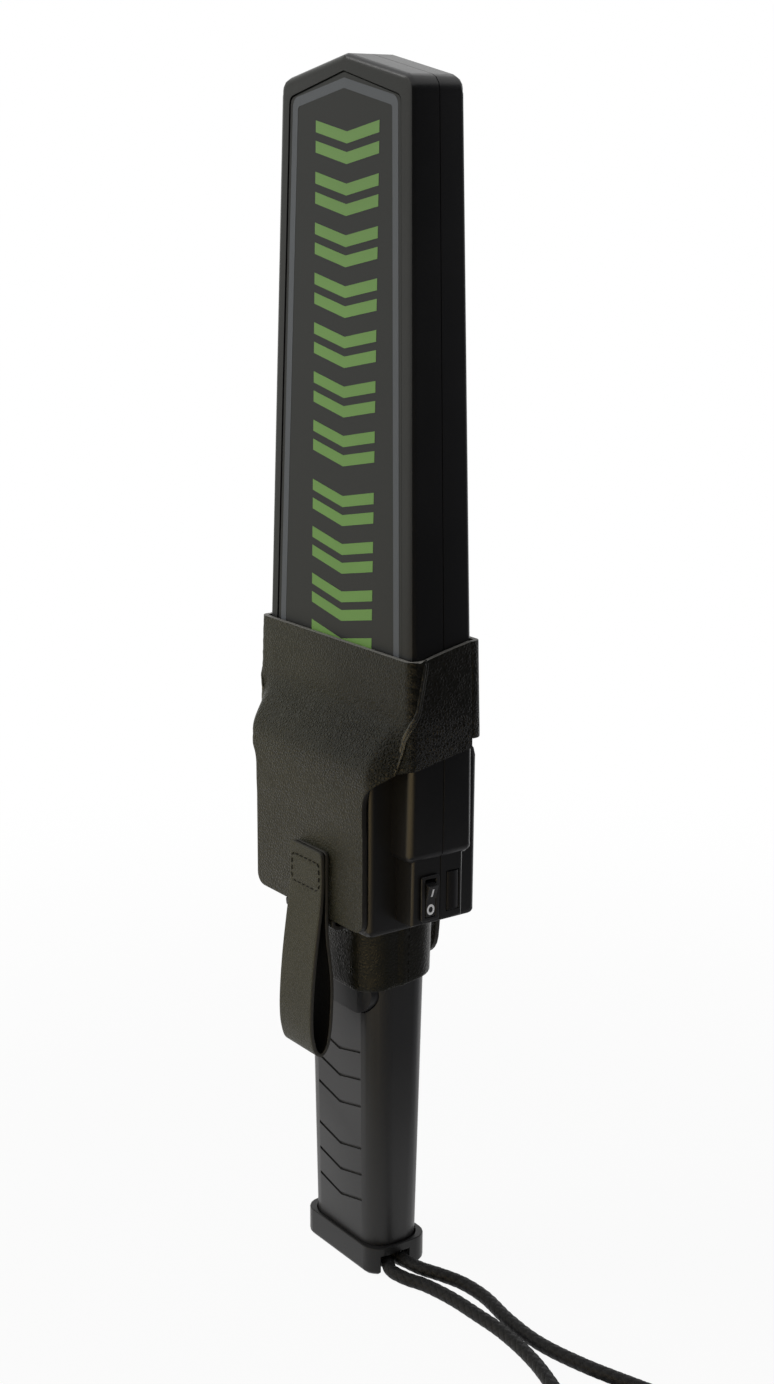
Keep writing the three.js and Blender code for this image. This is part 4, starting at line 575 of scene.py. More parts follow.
# Brightness of the tent by its angle from straight ahead of the front, right being positive. Each row
# takes over from the one before between two heights in metres: floor, warm wall, dull wall, upper wall.
TENT_PEAK = 4.0
TENT_ROWS = (
    ((0.0, 0.0), (
        (-180, (1.0, 1.0, 1.0)), (-80, (0.98, 0.97, 0.96)), (-45, (0.92, 0.91, 0.92)), (-15, (0.6, 0.6, 0.58)),
        (10, (0.42, 0.42, 0.4)), (40, (0.36, 0.36, 0.34)), (62, (0.28, 0.28, 0.28)), (130, (0.23, 0.23, 0.24)),
        (150, (0.3, 0.3, 0.32)), (168, (0.7, 0.7, 0.72)), (180, (1.0, 1.0, 1.0)))),
    ((0.02, 0.045), (
        (-180, (1.0, 1.0, 1.0)), (-120, (1.0, 1.0, 1.0)), (-80, (0.78, 0.72, 0.56)), (-45, (0.82, 0.7, 0.48)),
        (-22, (1.2, 0.92, 0.52)), (-4, (2.8, 2.1, 1.05)), (20, (4.0, 3.0, 1.5)), (40, (4.0, 3.0, 1.5)),
        (56, (2.8, 2.1, 1.05)), (84, (0.5, 0.38, 0.2)), (100, (0.04, 0.04, 0.04)), (132, (0.04, 0.04, 0.045)),
        (155, (0.22, 0.22, 0.24)), (170, (0.7, 0.7, 0.72)), (180, (1.0, 1.0, 1.0)))),
    ((0.095, 0.115), (
        (-180, (1.0, 1.0, 1.0)), (-120, (1.0, 1.0, 1.0)), (-80, (0.64, 0.66, 0.57)), (-61, (0.6, 0.62, 0.54)),
        (-51, (0.34, 0.34, 0.27)), (-30, (0.24, 0.24, 0.2)), (0, (0.34, 0.34, 0.3)), (14, (0.24, 0.24, 0.22)),
        (30, (0.1, 0.1, 0.1)), (60, (0.04, 0.04, 0.04)), (132, (0.04, 0.04, 0.045)),
        (155, (0.16, 0.16, 0.18)), (170, (0.6, 0.6, 0.62)), (180, (1.0, 1.0, 1.0)))),
    ((0.14, 0.165), (
        (-180, (1.0, 1.0, 1.0)), (-120, (1.0, 1.0, 1.0)), (-80, (0.64, 0.66, 0.62)), (-45, (0.58, 0.58, 0.53)),
        (-34, (0.95, 0.95, 0.88)), (-22, (0.95, 0.95, 0.87)), (-12, (0.42, 0.42, 0.4)), (4, (0.42, 0.42, 0.4)),
        (14, (0.22, 0.22, 0.21)),
        (30, (0.1, 0.1, 0.1)), (60, (0.06, 0.06, 0.06)), (124, (0.06, 0.06, 0.065)), (148, (0.24, 0.24, 0.26)),
        (165, (0.7, 0.7, 0.72)), (180, (1.0, 1.0, 1.0)))),
)


def make_camera():
    yaw, pitch, roll = CAMERA_TURN
    level = Vector((math.cos(yaw), math.sin(yaw), 0))
    back = Vector((math.sin(yaw) * math.cos(pitch), -math.cos(yaw) * math.cos(pitch), math.sin(pitch)))
    over = back.cross(level)
    right = level * math.cos(roll) + over * math.sin(roll)
    up = over * math.cos(roll) - level * math.sin(roll)
    lens = bpy.data.cameras.new("camera")
    lens.sensor_width = SENSOR
    lens.lens = FOCAL_PIXELS * SENSOR / FRAME_PIXELS
    lens.clip_start = 0.01
    made = add_object("camera", lens)
    turned = Matrix((right, up, back)).transposed().to_4x4()
    made.matrix_world = Matrix.Translation(Vector(CAMERA_PLACE) * MM) @ turned
    bpy.context.scene.camera = made


def make_key_lamp():
    lamp = bpy.data.lights.new("key_lamp", "AREA")
    lamp.shape = "RECTANGLE"
    lamp.size, lamp.size_y = KEY_SIZE
    lamp.energy = KEY_POWER
    lamp.color = KEY_COLOUR
    made = add_object("key_lamp", lamp)
    made.location = KEY_PLACE
    made.rotation_euler = (Vector(KEY_AIM) - Vector(KEY_PLACE)).to_track_quat("-Z", "Y").to_euler()
    made.visible_camera = False


def seen_share(tree):
    """One for rays of the camera, of gloss and of glass."""
    path = tree.nodes.new("ShaderNodeLightPath").outputs
    seen = math_node(tree, "MAXIMUM", path["Is Camera Ray"], path["Is Glossy Ray"])
    return math_node(tree, "MAXIMUM", seen, path["Is Transmission Ray"])


def blend_shaders(tree, output, share, first, second):
    blend = new_node(tree, "ShaderNodeMixShader", {0: share, 1: first.outputs[0], 2: second.outputs[0]})
    wire(tree, tree.nodes[output], {"Surface": blend.outputs[0]})


def make_floor():
    tree, shader, place = new_material("floor")
    wire(tree, shader, {"Base Color": (0.5, 0.5, 0.5), "Roughness": 0.9, "Specular IOR Level": 0.1})
    span = new_node(tree, "ShaderNodeVectorMath", {0: place}, operation="LENGTH").outputs["Value"]
    share = math_node(tree, "MULTIPLY", seen_share(tree), ramp(tree, span, 0.1, 0.6, 0.94, 1.0))
    blend_shaders(tree, "Material Output", share, shader, tree.nodes.new("ShaderNodeEmission"))
    line = [-FLOOR_HALF + 2 * FLOOR_HALF * i / FLOOR_STEPS for i in range(FLOOR_STEPS + 1)]
    faces = grid_faces(FLOOR_STEPS + 1, FLOOR_STEPS + 1)
    mesh_object("floor", [(x, y, 0) for y in line for x in line], faces, ["floor"])


def make_tent():
    """A round screen that only mirrored light meets: dull at the left front, warm ahead, dark at the right."""
    tree, shader, place = new_material("light_tent")
    tree.nodes.remove(shader)
    split = split_place(tree, place)
    turn = math_node(tree, "ARCTAN2", split["X"], math_node(tree, "MULTIPLY", split["Y"], -1.0))
    share = math_node(tree, "ADD", math_node(tree, "DIVIDE", turn, 2 * math.pi), 0.5)
    seen = None
    for (low, high), row in TENT_ROWS:
        tones = new_node(tree, "ShaderNodeValToRGB", {0: share})
        stops = tones.color_ramp.elements
        stops.remove(stops[1])
        for i, (angle, tone) in enumerate(row):
            stop = stops[0] if i == 0 else stops.new(0.5 + angle / 360)
            stop.position = 0.5 + angle / 360
            stop.color = (*(value / TENT_PEAK for value in tone), 1)
        seen = tones.outputs[0] if seen is None else colour_mix(
            tree, ramp(tree, split["Z"], low, high), seen, tones.outputs[0])
    glow = new_node(tree, "ShaderNodeEmission", {"Strength": TENT_PEAK, "Color": seen})
    wire(tree, tree.nodes["Material Output"], {"Surface": glow.outputs[0]})
    rings = [(TENT_REACH, height) for height in TENT_HEIGHTS]
    rings += [(TENT_FOOT, TENT_HEIGHTS[0]), (TENT_REACH, TENT_HEIGHTS[0])]
    turns = [2 * math.pi * i / TENT_STEPS for i in range(TENT_STEPS)]
    places = [(reach * math.sin(turn), -reach * math.cos(turn), height) for reach, height in rings for turn in turns]
    wall = len(TENT_HEIGHTS)
    faces = grid_faces(wall, TENT_STEPS, True)
    faces += [tuple(wall * TENT_STEPS + k for k in face) for face in grid_faces(2, TENT_STEPS, True)]
    tent = mesh_object("light_tent", places, faces, ["light_tent"])
    for kind in ("camera", "diffuse", "transmission", "volume_scatter", "shadow"):
        setattr(tent, f"visible_{kind}", False)


def make_world():
    """Pale surroundings, a little brighter towards the left front, and white wherever they are seen."""
    world = bpy.data.worlds.new("studio")
    bpy.context.scene.world = world
    world.use_nodes = True
    tree = world.node_tree
    around = tree.nodes.new("ShaderNodeTexCoord").outputs["Generated"]
    toward = new_node(tree, "ShaderNodeVectorMath", {0: around, 1: Vector((-0.62, -0.62, 0.48)).normalized()},
                      operation="DOT_PRODUCT").outputs["Value"]
    lit = tree.nodes["Background"]
    wire(tree, lit, {"Strength": ramp(tree, toward, -0.7, 0.9, 0.32, 0.5), "Color": (1, 1, 1)})
    pale = new_node(tree, "ShaderNodeBackground", {"Color": (1, 1, 1)})
    blend_shaders(tree, "World Output", seen_share(tree), lit, pale)


class WAND_OT_stage(bpy.types.Operator):
    """Sets up the camera, the floor, the screen for mirrored light, the surroundings, the lamp and the finishes."""

    bl_idname = "wand.stage"
    bl_label = "Stage"

    def execute(self, context):
        context.scene.view_settings.view_transform = "Standard"
        make_camera()
        make_floor()
        make_tent()
        make_world()
        make_key_lamp()
        make_finishes(context.scene.wand_colours)
        return {"FINISHED"}


# Wrist cord.

CORD_STRANDS, CORD_RELIEF, CORD_UNDER = 8, 0.3, 0.45


def woven_height(turn, run):
    """How high the braid stands, from 0 to 1, at a share of its girth and a number of lays along it."""
    first, second = CORD_STRANDS / 2 * (turn + run), CORD_STRANDS / 2 * (turn - run)
    woven = (math.floor(first) + math.floor(second)) % 2
    best = 0.0
    for value, over in ((first, woven == 0), (second, woven == 1)):
        off = abs((value % 1.0) - 0.5) * 2
        best = max(best, math.sqrt(max(0.0, 1 - off ** 2.2)) * (1.0 if over else CORD_UNDER))
    return best


def make_cord(size):
    steps, sides = ((820, 36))
    line, length = smooth_curve(CORD_ROUTE, steps)
    radius = size.cord / MM / 2
    pitch = 2 * math.pi * radius * 0.95
    places, lay = [], []
    across = heading(line, 0).orthogonal().normalized()
    for i, point in enumerate(line):
        ahead = heading(line, i)
        across = (across - ahead * across.dot(ahead)).normalized()
        other = ahead.cross(across)
        for k in range(sides):
            turn = k / sides
            lay.append(woven_height(turn, length * i / (steps - 1) / pitch))
            grow = radius - CORD_RELIEF + CORD_RELIEF * lay[-1]
            places.append(point + (across * math.cos(2 * math.pi * turn) + other * math.sin(
                2 * math.pi * turn)) * grow)
    cord = mesh_object("wrist_cord_braid", places, tube_faces(steps, sides), ["cord"])
    weave = cord.data.attributes.new("lay", "FLOAT", "POINT")
    weave.data.foreach_set("value", lay)
    settle(outward(cord), 60)
    seat(cord, "end_cap", "cord", "wrist_cord")


class WAND_OT_cord(bpy.types.Operator):
    """Makes the braided wrist cord, doubled out of the ferrule and laid in one loop."""

    bl_idname = "wand.cord"
    bl_label = "Wrist Cord"

    def execute(self, context):
        make_cord(context.scene.wand_sizes)
        return {"FINISHED"}


# Moulded case, grip and controls: piece, node, body, finish and rounding of the edges in millimetres.

MOULDED = (
    ("front_case", "front_shell", "case", "casing", 0.35),
    ("rear_case", "rear_shell", "case", "casing", 0.35),
    ("moulded_grip", "grip_tube", "case", "grip", 0.25),
    ("moulded_cap", "end_cap", "end_cap", "cap", 0.55),
    ("moulded_button", "thumb_button", "thumb_button", "button", 0.35),
    ("switch_frame", "rocker_body", "case", "black_plastic", 0.2),
    ("switch_rocker", "rocker", "rocker", "black_plastic", 0.25),
    ("smoked_window", "lamp_window", "case", "smoked", 0.2),
    ("crimped_ferrule", "cord_ferrule", "end_cap", "steel", 0.2),
)

# Finishes of the grip's own slot that are a little lighter or darker than it.
SLOTS = {"button": "grip", "cap": "grip"}

NODE_FINISHES = {
    "label": ("front_label", "rear_label"),
    "steel": ("case_screw_1", "case_screw_2", "case_screw_3", "case_screw_4", "case_screw_5", "case_screw_6",
              "motor_can", "motor_weight", "motor_clip", "rocker_pin", "lanyard_pin"),
    "former": ("coil_former", "coil_socket"),
    "copper": ("coil_winding",),
    "board": ("main_board",),
    "black_plastic": ("coil_lead", "control_chip", "amplifier_chip", "capacitor_1", "capacitor_2",
                      "speaker_basket", "speaker_lead_2", "switch_lead_2", "key_switch", "key_plunger",
                      "battery_snap", "battery_lead_black"),
    "red_plastic": ("speaker_lead_1", "switch_lead_1", "battery_lead_red"),
    "paper": ("speaker_cone",),
    "lamp_red": ("lamp_red",),
    "lamp_amber": ("lamp_amber",),
    "lamp_green": ("lamp_green",),
    "battery": ("battery_9v",),
    "foam": ("battery_pad",),
}


def finish_node(name, finish):
    """Gives a node that stays in view its finish."""
    mesh = NODES[name].data
    mesh.materials.clear()
    mesh.materials.append(FINISHES[finish])


class WAND_OT_case(bpy.types.Operator):
    """Makes the moulded case, grip, cap and controls, and finishes the parts inside."""

    bl_idname = "wand.case"
    bl_label = "Case and Grip"

    def execute(self, context):
        for name, node, body, finish, edge in MOULDED:
            seat(moulded(name, node, finish, edge), body, SLOTS.get(finish, finish), node)
        for finish, names in NODE_FINISHES.items():
            for name in names:
                finish_node(name, finish)
        return {"FINISHED"}


# Printed plates: the border's two lines, by their inset and corner radius, and its foot; the chevrons' sizes,
# the line they stand on, and the lowest one and the count of each run. All in millimetres.

BORDER_LINES, BORDER_LOW_Z = ((7.2, 3.4), (10.2, 1.2)), 206.2
MARK_HALF, MARK_ARM, MARK_RISE, MARK_DROP, MARK_THICK = 17.2, 3.6, 3.4, 6.2, 0.06
MARK_X, MARK_RUNS = 1.9, (("upper_chevrons", 288.8, 7), ("lower_chevrons", 222.3, 4))


def plate_y(side, z, proud=0.0):
    """The outer face of the front (-1) or rear (1) label plate at a height."""
    depth = front_depth(z) if side < 0 else rear_depth(z)
    return side * (depth - LABEL_FACE + proud)


def house_outline(inset, low_z, radius):
    """The plate's outline drawn in from the paddle's, as (x, z) from the low right corner round.

    Its two shoulders are rounded."""
    side_slope = (HALF_WIDTH_TOP - HALF_WIDTH_LOW) / (SHOULDER_Z - PADDLE_LOW_Z)
    roof = math.atan2(TOP_Z - SHOULDER_Z, HALF_WIDTH_TOP)
    apex = TOP_Z - inset / math.cos(roof)

    def side_x(z):
        return HALF_WIDTH_LOW + side_slope * (z - PADDLE_LOW_Z) - inset

    shoulder = SHOULDER_Z - inset
    for _ in range(20):
        shoulder = apex - side_x(shoulder) * math.tan(roof)
    start = math.atan2(-side_slope, 1.0)
    reach = radius * math.tan((math.pi / 2 - roof - start) / 2)
    centre = (side_x(shoulder - reach) - radius, shoulder - reach)
    arc = []
    for i in range(9):
        turn = mix(start, math.pi / 2 - roof, i / 8)
        arc.append((centre[0] + radius * math.cos(turn), centre[1] + radius * math.sin(turn)))
    right = [(side_x(low_z), low_z)] + arc
    return right + [(0.0, apex)] + [(-x, z) for x, z in reversed(right)]


def make_border(side, name):
    outer, inner = (house_outline(inset, BORDER_LOW_Z, radius) for inset, radius in BORDER_LINES)
    places = [(x, plate_y(side, z, proud), z) for proud in (-0.1, 0.05) for line in (outer, inner) for x, z in line]
    n = len(outer)
    faces = [(i, 2 * n + i, 3 * n + i, n + i) for i in (0, n - 1)]
    for i in range(n - 1):
        a, b = 2 * n + i, 3 * n + i
        faces += [(a, a + 1, b + 1, b), (i, n + i, n + i + 1, i + 1),
                  (i, i + 1, a + 1, a), (n + i, b, b + 1, n + i + 1)]
    return seat(outward(mesh_object(name, places, faces, ["border"])), "case", "label")


def place_copies(tree, end, finish, **placing):
    """Ends a geometry tree: a copy on each point, made real, in its finish."""
    copies = new_node(tree, "GeometryNodeInstanceOnPoints", placing)
    real = new_node(tree, "GeometryNodeRealizeInstances", {0: copies.outputs[0]})
    paint = new_node(tree, "GeometryNodeSetMaterial", {"Geometry": real.outputs[0], "Material": FINISHES[finish]})
    wire(tree, end, {0: paint.outputs[0]})


def chevron_tree():
    """Chevrons at an even pitch up a line: pairs of V-shaped bars in the XZ plane."""
    tree, given, end = group_tree(
        "Chevron column", "GeometryNodeTree",
        {"Mark": ("Geometry", None), "Count": ("Int", 8), "Start": ("Vector", (0, 0, 0)),
         "Step": ("Vector", (0, 0, 0.0165)), "Tilt": ("Float", 0.0)}, {"Column": "Geometry"})
    line = new_node(
        tree, "GeometryNodeMeshLine",
        {"Count": given["Count"], "Start Location": given["Start"], "Offset": given["Step"]}, mode="OFFSET")
    turn = new_node(tree, "ShaderNodeCombineXYZ", {"X": given["Tilt"]})
    place_copies(tree, end, "marks", Points=line.outputs[0], Instance=given["Mark"], Rotation=turn.outputs[0])
    return tree


def repeat(piece, tree, **values):
    """Runs a node tree on a piece and turns the result into a plain mesh."""
    live = piece.modifiers.new("repeat", "NODES")
    live.node_group = tree
    sockets = {item.name: item.identifier for item in tree.interface.items_tree if item.in_out == "INPUT"}
    for label, value in values.items():
        live[sockets[label]] = value
    piece.update_tag()
    bpy.context.view_layer.update()
    return settle(piece, 30)


def chevron_pair(name):
    """Two nested V-shaped bars, thin prisms about the origin, each with cut ends."""
    high = MARK_RISE + MARK_ARM
    outline = [(-MARK_HALF, high), (-MARK_HALF, MARK_RISE), (0, 0), (MARK_HALF, MARK_RISE), (MARK_HALF, high),
               (0, MARK_ARM)]
    places, faces = [], []
    for shift in (0.0, -MARK_DROP):
        faces += prism_faces(len(places), len(outline), ((0, 1, 2, 5), (5, 2, 3, 4)))
        places += [(x, y, z + shift) for y in (-MARK_THICK, MARK_THICK) for x, z in outline]
    return outward(mesh_object(name, places, faces, ["marks"]))


def make_marks(side, name, tree, low_z, count, pitch):
    slope = (plate_y(side, 300) - plate_y(side, 200)) / 100
    step = Vector((0, slope, 1)) / math.hypot(1, slope) * pitch
    start = Vector((MARK_X, plate_y(side, low_z), low_z)) * MM
    marks = repeat(chevron_pair(name), tree, Count=count, Start=start, Step=step, Tilt=-math.atan(slope))
    return seat(marks, "case", "label")


class WAND_OT_labels(bpy.types.Operator):
    """Prints the plates' borders and the column of green chevrons."""

    bl_idname = "wand.labels"
    bl_label = "Printed Plates"

    def execute(self, context):
        tree = chevron_tree()
        make_border(-1, "front_border")
        make_border(1, "rear_border")
        for name, low_z, count in MARK_RUNS:
            make_marks(-1, name, tree, low_z, count, context.scene.wand_sizes.mark_pitch)
        return {"FINISHED"}


# Switch marks: the rocker's pivot in millimetres, its tilt at rest, and how deep the marks' foot and how
# proud their face stands.

ROCKER_PIVOT, ROCKER_TILT = (38.7, -4.65, 145.9), math.radians(10)
MARK_SUNK, MARK_PROUD, RING_STEPS = -0.08, 0.05, 28


def rocker_face(y, z, proud):
    """A place on the rocker's face, its way from the pivot given along the untilted switch."""
    x = 3.6 + 0.9 * abs(z) / 5.6 + proud
    cos, sin = math.cos(ROCKER_TILT), math.sin(ROCKER_TILT)
    return Vector(ROCKER_PIVOT) + Vector((x * cos + z * sin, y, -x * sin + z * cos))


def make_switch_marks():
    """A plain bar on the rocker's upper half and a ring on its lower half."""
    bar = ((-0.3, 1.4), (0.3, 1.4), (0.3, 4.4), (-0.3, 4.4))
    places = [rocker_face(y, z, proud) for proud in (MARK_SUNK, MARK_PROUD) for y, z in bar]
    faces, base = prism_faces(0, len(bar), ((0, 1, 2, 3),)), len(places)
    rings = ((0.85, MARK_SUNK), (0.85, MARK_PROUD), (1.5, MARK_PROUD), (1.5, MARK_SUNK))
    turns = [2 * math.pi * i / RING_STEPS for i in range(RING_STEPS)]
    places += [rocker_face(radius * math.cos(turn), -3.2 + radius * 1.2 * math.sin(turn), proud)
               for radius, proud in rings for turn in turns]
    around = len(rings) * RING_STEPS
    faces += [tuple(base + k % around for k in face) for face in grid_faces(len(rings) + 1, RING_STEPS, True)]
    marks = outward(mesh_object("switch_marks", places, faces, ["white_mark"]))
    return seat(settle(marks, 30), "rocker", "label")


class WAND_OT_switch_marks(bpy.types.Operator):
    """Prints the bar and the ring on the rocker switch."""

    bl_idname = "wand.switch_marks"
    bl_label = "Switch Marks"

    def execute(self, context):
        make_switch_marks()
        return {"FINISHED"}


# Leather of the belt sleeve, in millimetres: the front panel's lower half width, the height from which it
# widens to the seam, its lower corners' radius and its finely divided rim; the heights between which the
# leather ripples; how far the puckers stand out and reach in, and their share at the left.

PANEL_LOW_HALF, PANEL_SPREAD_Z, PANEL_CORNER, PANEL_RIM = 31.5, 176.5, 4.0, 10
RIPPLE_LOW_Z, RIPPLE_HIGH_Z = 166, 224
PUCKER_HEIGHT, PUCKER_REACH, PUCKER_LEFT = 0.42, (0.6, 5.6), 0.25
WELT_PLACES, WELT_SIDES = 120, 12
SLEEVE_FINISHES, DARK_EDGE_BELOW_Z = ("leather", "cut_edge", "dark_edge"), 215


def rise(z):
    return smooth_step(RISE_TOP_Z - z, 0, RISE_TOP_Z - RISE_LOW_Z)


def panel_depth(x, z):
    """Depth of the front panel's inner face: flat on the paddle, then stepping out over the housing."""
    plateau = 1 - smooth_step(abs(x), PLATEAU_X, HALF_WIDTH_LOW + GAP)
    return mix(front_depth(z) + GAP, HOUSING_DEPTH + GAP, rise(z) * plateau)


def corner_drop(z, low_z, radius):
    """How far a rounded lower corner draws a side in at a height."""
    below = min(max(radius - (z - low_z), 0.0), radius)
    return radius - math.sqrt(radius * radius - below * below)


def seam_run(z):
    """Where the sewn seam lies, from the paddle's corner: on the face low down, on the side at the top."""
    return mix(-3.3, 4.3, (z - SEAM_LOW_Z) / (SLEEVE_TOP_Z - SEAM_LOW_Z))


def sleeve_place(side, z, run):
    """A place on the sleeve's inner face by its way from the corner, and the direction out of it."""
    half = paddle_half(z) + GAP
    face = half - FOLD
    edge = panel_depth(face, z)
    arc = FOLD * math.pi / 4
    if run < -arc:
        x = face + run + arc
        return Vector((side * x, -panel_depth(x, z), z)), Vector((0, -1, 0))
    if run > arc:
        return Vector((side * half, -(edge - FOLD) + run - arc, z)), Vector((side, 0, 0))
    turn = math.pi / 4 * (1 - run / arc)
    out = Vector((side * math.cos(turn), -math.sin(turn), 0))
    return Vector((side * face, -(edge - FOLD), z)) + out * FOLD, out


def corner_run(z):
    """The front panel's way from the middle to the middle of the paddle's rounded corner."""
    return paddle_half(z) + GAP - FOLD + FOLD * math.pi / 4


def panel_reach(z):
    """Half the front panel's flat width at a height."""
    top = corner_run(max(z, SEAM_LOW_Z)) + seam_run(max(z, SEAM_LOW_Z))
    if z >= SEAM_LOW_Z:
        return top
    share = share_of(z, PANEL_SPREAD_Z, SEAM_LOW_Z)
    return mix(PANEL_LOW_HALF, top, share ** 2.1) - corner_drop(z, SLEEVE_BOTTOM_Z, PANEL_CORNER)


def ripple(x, z):
    """Soft swells of worn leather, never inward."""
    share = smooth_step(z, RIPPLE_LOW_Z, RIPPLE_LOW_Z + 6) * (1 - smooth_step(z, RIPPLE_HIGH_Z - 3, RIPPLE_HIGH_Z))
    swell = noise.noise(Vector((x * 0.045, z * 0.06, 3.7))) * 0.5 + 0.5
    fold = noise.noise(Vector((x * 0.12 + z * 0.09, z * 0.2 - x * 0.05, 9.1))) * 0.5 + 0.5
    return share * (0.35 * swell + 0.3 * fold * rise(z) * (1 - rise(z)) * 4)


def pucker_wave(z):
    """The puckers' rise and fall along the seam, from 0 to 1."""
    return (0.5 + 0.5 * math.cos(2 * math.pi * z / PUCKER_PITCH)) ** 1.4


def rear_row(z):
    """A row of the rear panel: round one side, across the face and round the other, x falling."""
    half, depth = paddle_half(z) + GAP, rear_depth(z) + GAP
    face, steps = half - FOLD, 5
    arc = []
    for i in range(steps):
        back = FOLD * (1 - i / steps)
        arc.append((half, depth - FOLD - back, 1.0, 0.0, back + FOLD))
    for i in range(steps):
        cos, sin = math.cos(math.pi / 2 * i / steps), math.sin(math.pi / 2 * i / steps)
        arc.append((face + FOLD * cos, depth - FOLD + FOLD * sin, cos, sin, FOLD * (1 - i / steps)))
    row = [(-x, y, -nx, ny, run) for x, y, nx, ny, run in arc]
    row += [(x, depth, 0.0, 1.0, abs(x) - face) for x in spread(-face, face, 41)] + arc[::-1]
    places = []
    for x, y, nx, ny, run in row:
        lift = 0.2 * smooth_step(-run, 0, 6) * max(0.0, noise.noise(Vector((x * 0.05, z * 0.08, 1.3))))
        places.append((-x - nx * lift, y + ny * lift, z))
    return places


def sleeve_piece(name, node, grid, size):
    """A sheet of the sleeve in a node's place: only its top edge, which faces up, is pale; the other cut edges are
    black.
    """
    piece = leather_sheet(name, grid, size.leather, SLEEVE_FINISHES)
    for face in piece.data.polygons:
        if face.material_index == 1 and (face.center.z < DARK_EDGE_BELOW_Z * MM or abs(face.normal.z) < 0.5):
            face.material_index = 2
    return seat(piece, "case", "leather", node)


def front_panel_grid():
    heights = [SLEEVE_BOTTOM_Z + d for d in (0, 0.25, 0.6, 1.1, 1.8, 2.8, 4)]
    heights += spread(SLEEVE_BOTTOM_Z + 5.5, 175, 22) + spread(176.2, SEAM_LOW_Z, 14)
    heights += spread(SEAM_LOW_Z + 0.6, SLEEVE_TOP_Z, 58)
    grid = []
    for z in heights:
        reach, half = panel_reach(z), []
        flats = [(reach - PANEL_RIM) * share for share in spread(0, 1, 25)]
        for flat in flats + [reach - PANEL_RIM + PANEL_RIM * k / 22 for k in range(1, 23)]:
            if z >= SEAM_LOW_Z:
                place, out = sleeve_place(1, z, flat - corner_run(z))
            else:
                place, out = Vector((flat, -panel_depth(flat, z), z)), Vector((0, -1, 0))
            near = reach - flat
            pucker = smooth_step(z, 187, 191) * (1 - smooth_step(near, *PUCKER_REACH)) * PUCKER_HEIGHT
            calm = smooth_step(near, 1.0, 9.0) if z > SEAM_LOW_Z - 4 else 1.0
            half.append((place, out, pucker * pucker_wave(z - 0.8 * near), calm))
        row = []
        for side, share, part in ((-1, PUCKER_LEFT, half[:0:-1]), (1, 1.0, half)):
            for place, out, pucker, calm in part:
                lift = pucker * share + calm * ripple(side * place.x, z)
                row.append(Vector((side * (place.x + out.x * lift), place.y + out.y * lift, z)))
        grid.append(row)
    return grid


def welt(name, side, shift, radius, pucker):
    """A raised sewn edge along the seam, closed at both ends."""
    middle, outs = [], []
    for z in spread(SEAM_LOW_Z + 0.3, SLEEVE_TOP_Z - 0.4, WELT_PLACES):
        place, out = sleeve_place(side, z, seam_run(z) + 0.08)
        along = Vector((-side * out.y, side * out.x, 0))
        middle.append(place + along * shift + out * (1.95 + pucker * pucker_wave(z)))
        outs.append(out)
    places = []
    for i, (point, out) in enumerate(zip(middle, outs)):
        swell = radius * math.sqrt(max(0.02, 1 - abs(2 * i / (WELT_PLACES - 1) - 1) ** 14))
        across = heading(middle, i).cross(out).normalized()
        for k in range(WELT_SIDES):
            turn = 2 * math.pi * k / WELT_SIDES
            places.append(point + out * (swell * 0.75 * math.cos(turn)) + across * (swell * math.sin(turn)))
    made = outward(mesh_object(name, places, tube_faces(WELT_PLACES, WELT_SIDES), ["welt_leather"]))
    return seat(settle(made, 60), "case", "leather")


def make_front_panel(size):
    grid = front_panel_grid()
    panel = sleeve_piece("front_panel", "sleeve_front_panel", grid, size)
    welts = [welt(f"{word}_welt_{name}", side, shift * share, radius * share, pucker * share)
             for word, side, share in (("right", 1, 1.0), ("left", -1, 0.6))
             for name, shift, radius, pucker in (("front", -0.55, 0.7, 0.16), ("rear", 0.5, 0.5, 0.0))]


def make_side_band(size, side, name, node):
    """A side of the sleeve, from the seam round to the rear panel."""
    grid = []
    for climb in spread(0, 1, 46):
        front_z, rear_z = mix(SEAM_LOW_Z, SLEEVE_TOP_Z, climb), mix(BAND_REAR_LOW_Z, SLEEVE_REAR_TOP_Z, climb)
        first = seam_run(front_z) + 0.06
        edge = panel_depth(paddle_half(rear_z) + GAP - FOLD, rear_z)
        last = rear_depth(rear_z) - 2 * FOLD + edge - FOLD + FOLD * math.pi / 4
        row = []
        for way in spread(0, 1, 24):
            share = way ** 1.6
            z = mix(front_z, rear_z, way * share ** 0.2)
            place, out = sleeve_place(side, z, mix(first, last, share))
            sag = 0.28 * math.sin(math.pi * share) * (0.6 + 0.4 * noise.noise(Vector((share * 4, z * 0.12, side))))
            row.append(place + out * sag)
        grid.append(row if side > 0 else row[::-1])
    sleeve_piece(name, node, grid, size)


def make_rear_panel(size):
    grid = [rear_row(z) for z in spread(SLEEVE_REAR_LOW_Z, SLEEVE_REAR_TOP_Z, 26)]
    sleeve_piece("rear_panel", "sleeve_rear_panel", grid, size)


class WAND_OT_sleeve(bpy.types.Operator):
    """Makes the sleeve's front and rear panels, its side bands and their sewn welts."""

    bl_idname = "wand.sleeve"
    bl_label = "Sleeve"

    def execute(self, context):
        size = context.scene.wand_sizes
        make_front_panel(size)
        make_rear_panel(size)
        make_side_band(size, 1, "right_band", "side_band_right")
        make_side_band(size, -1, "left_band", "side_band_left")
        return {"FINISHED"}


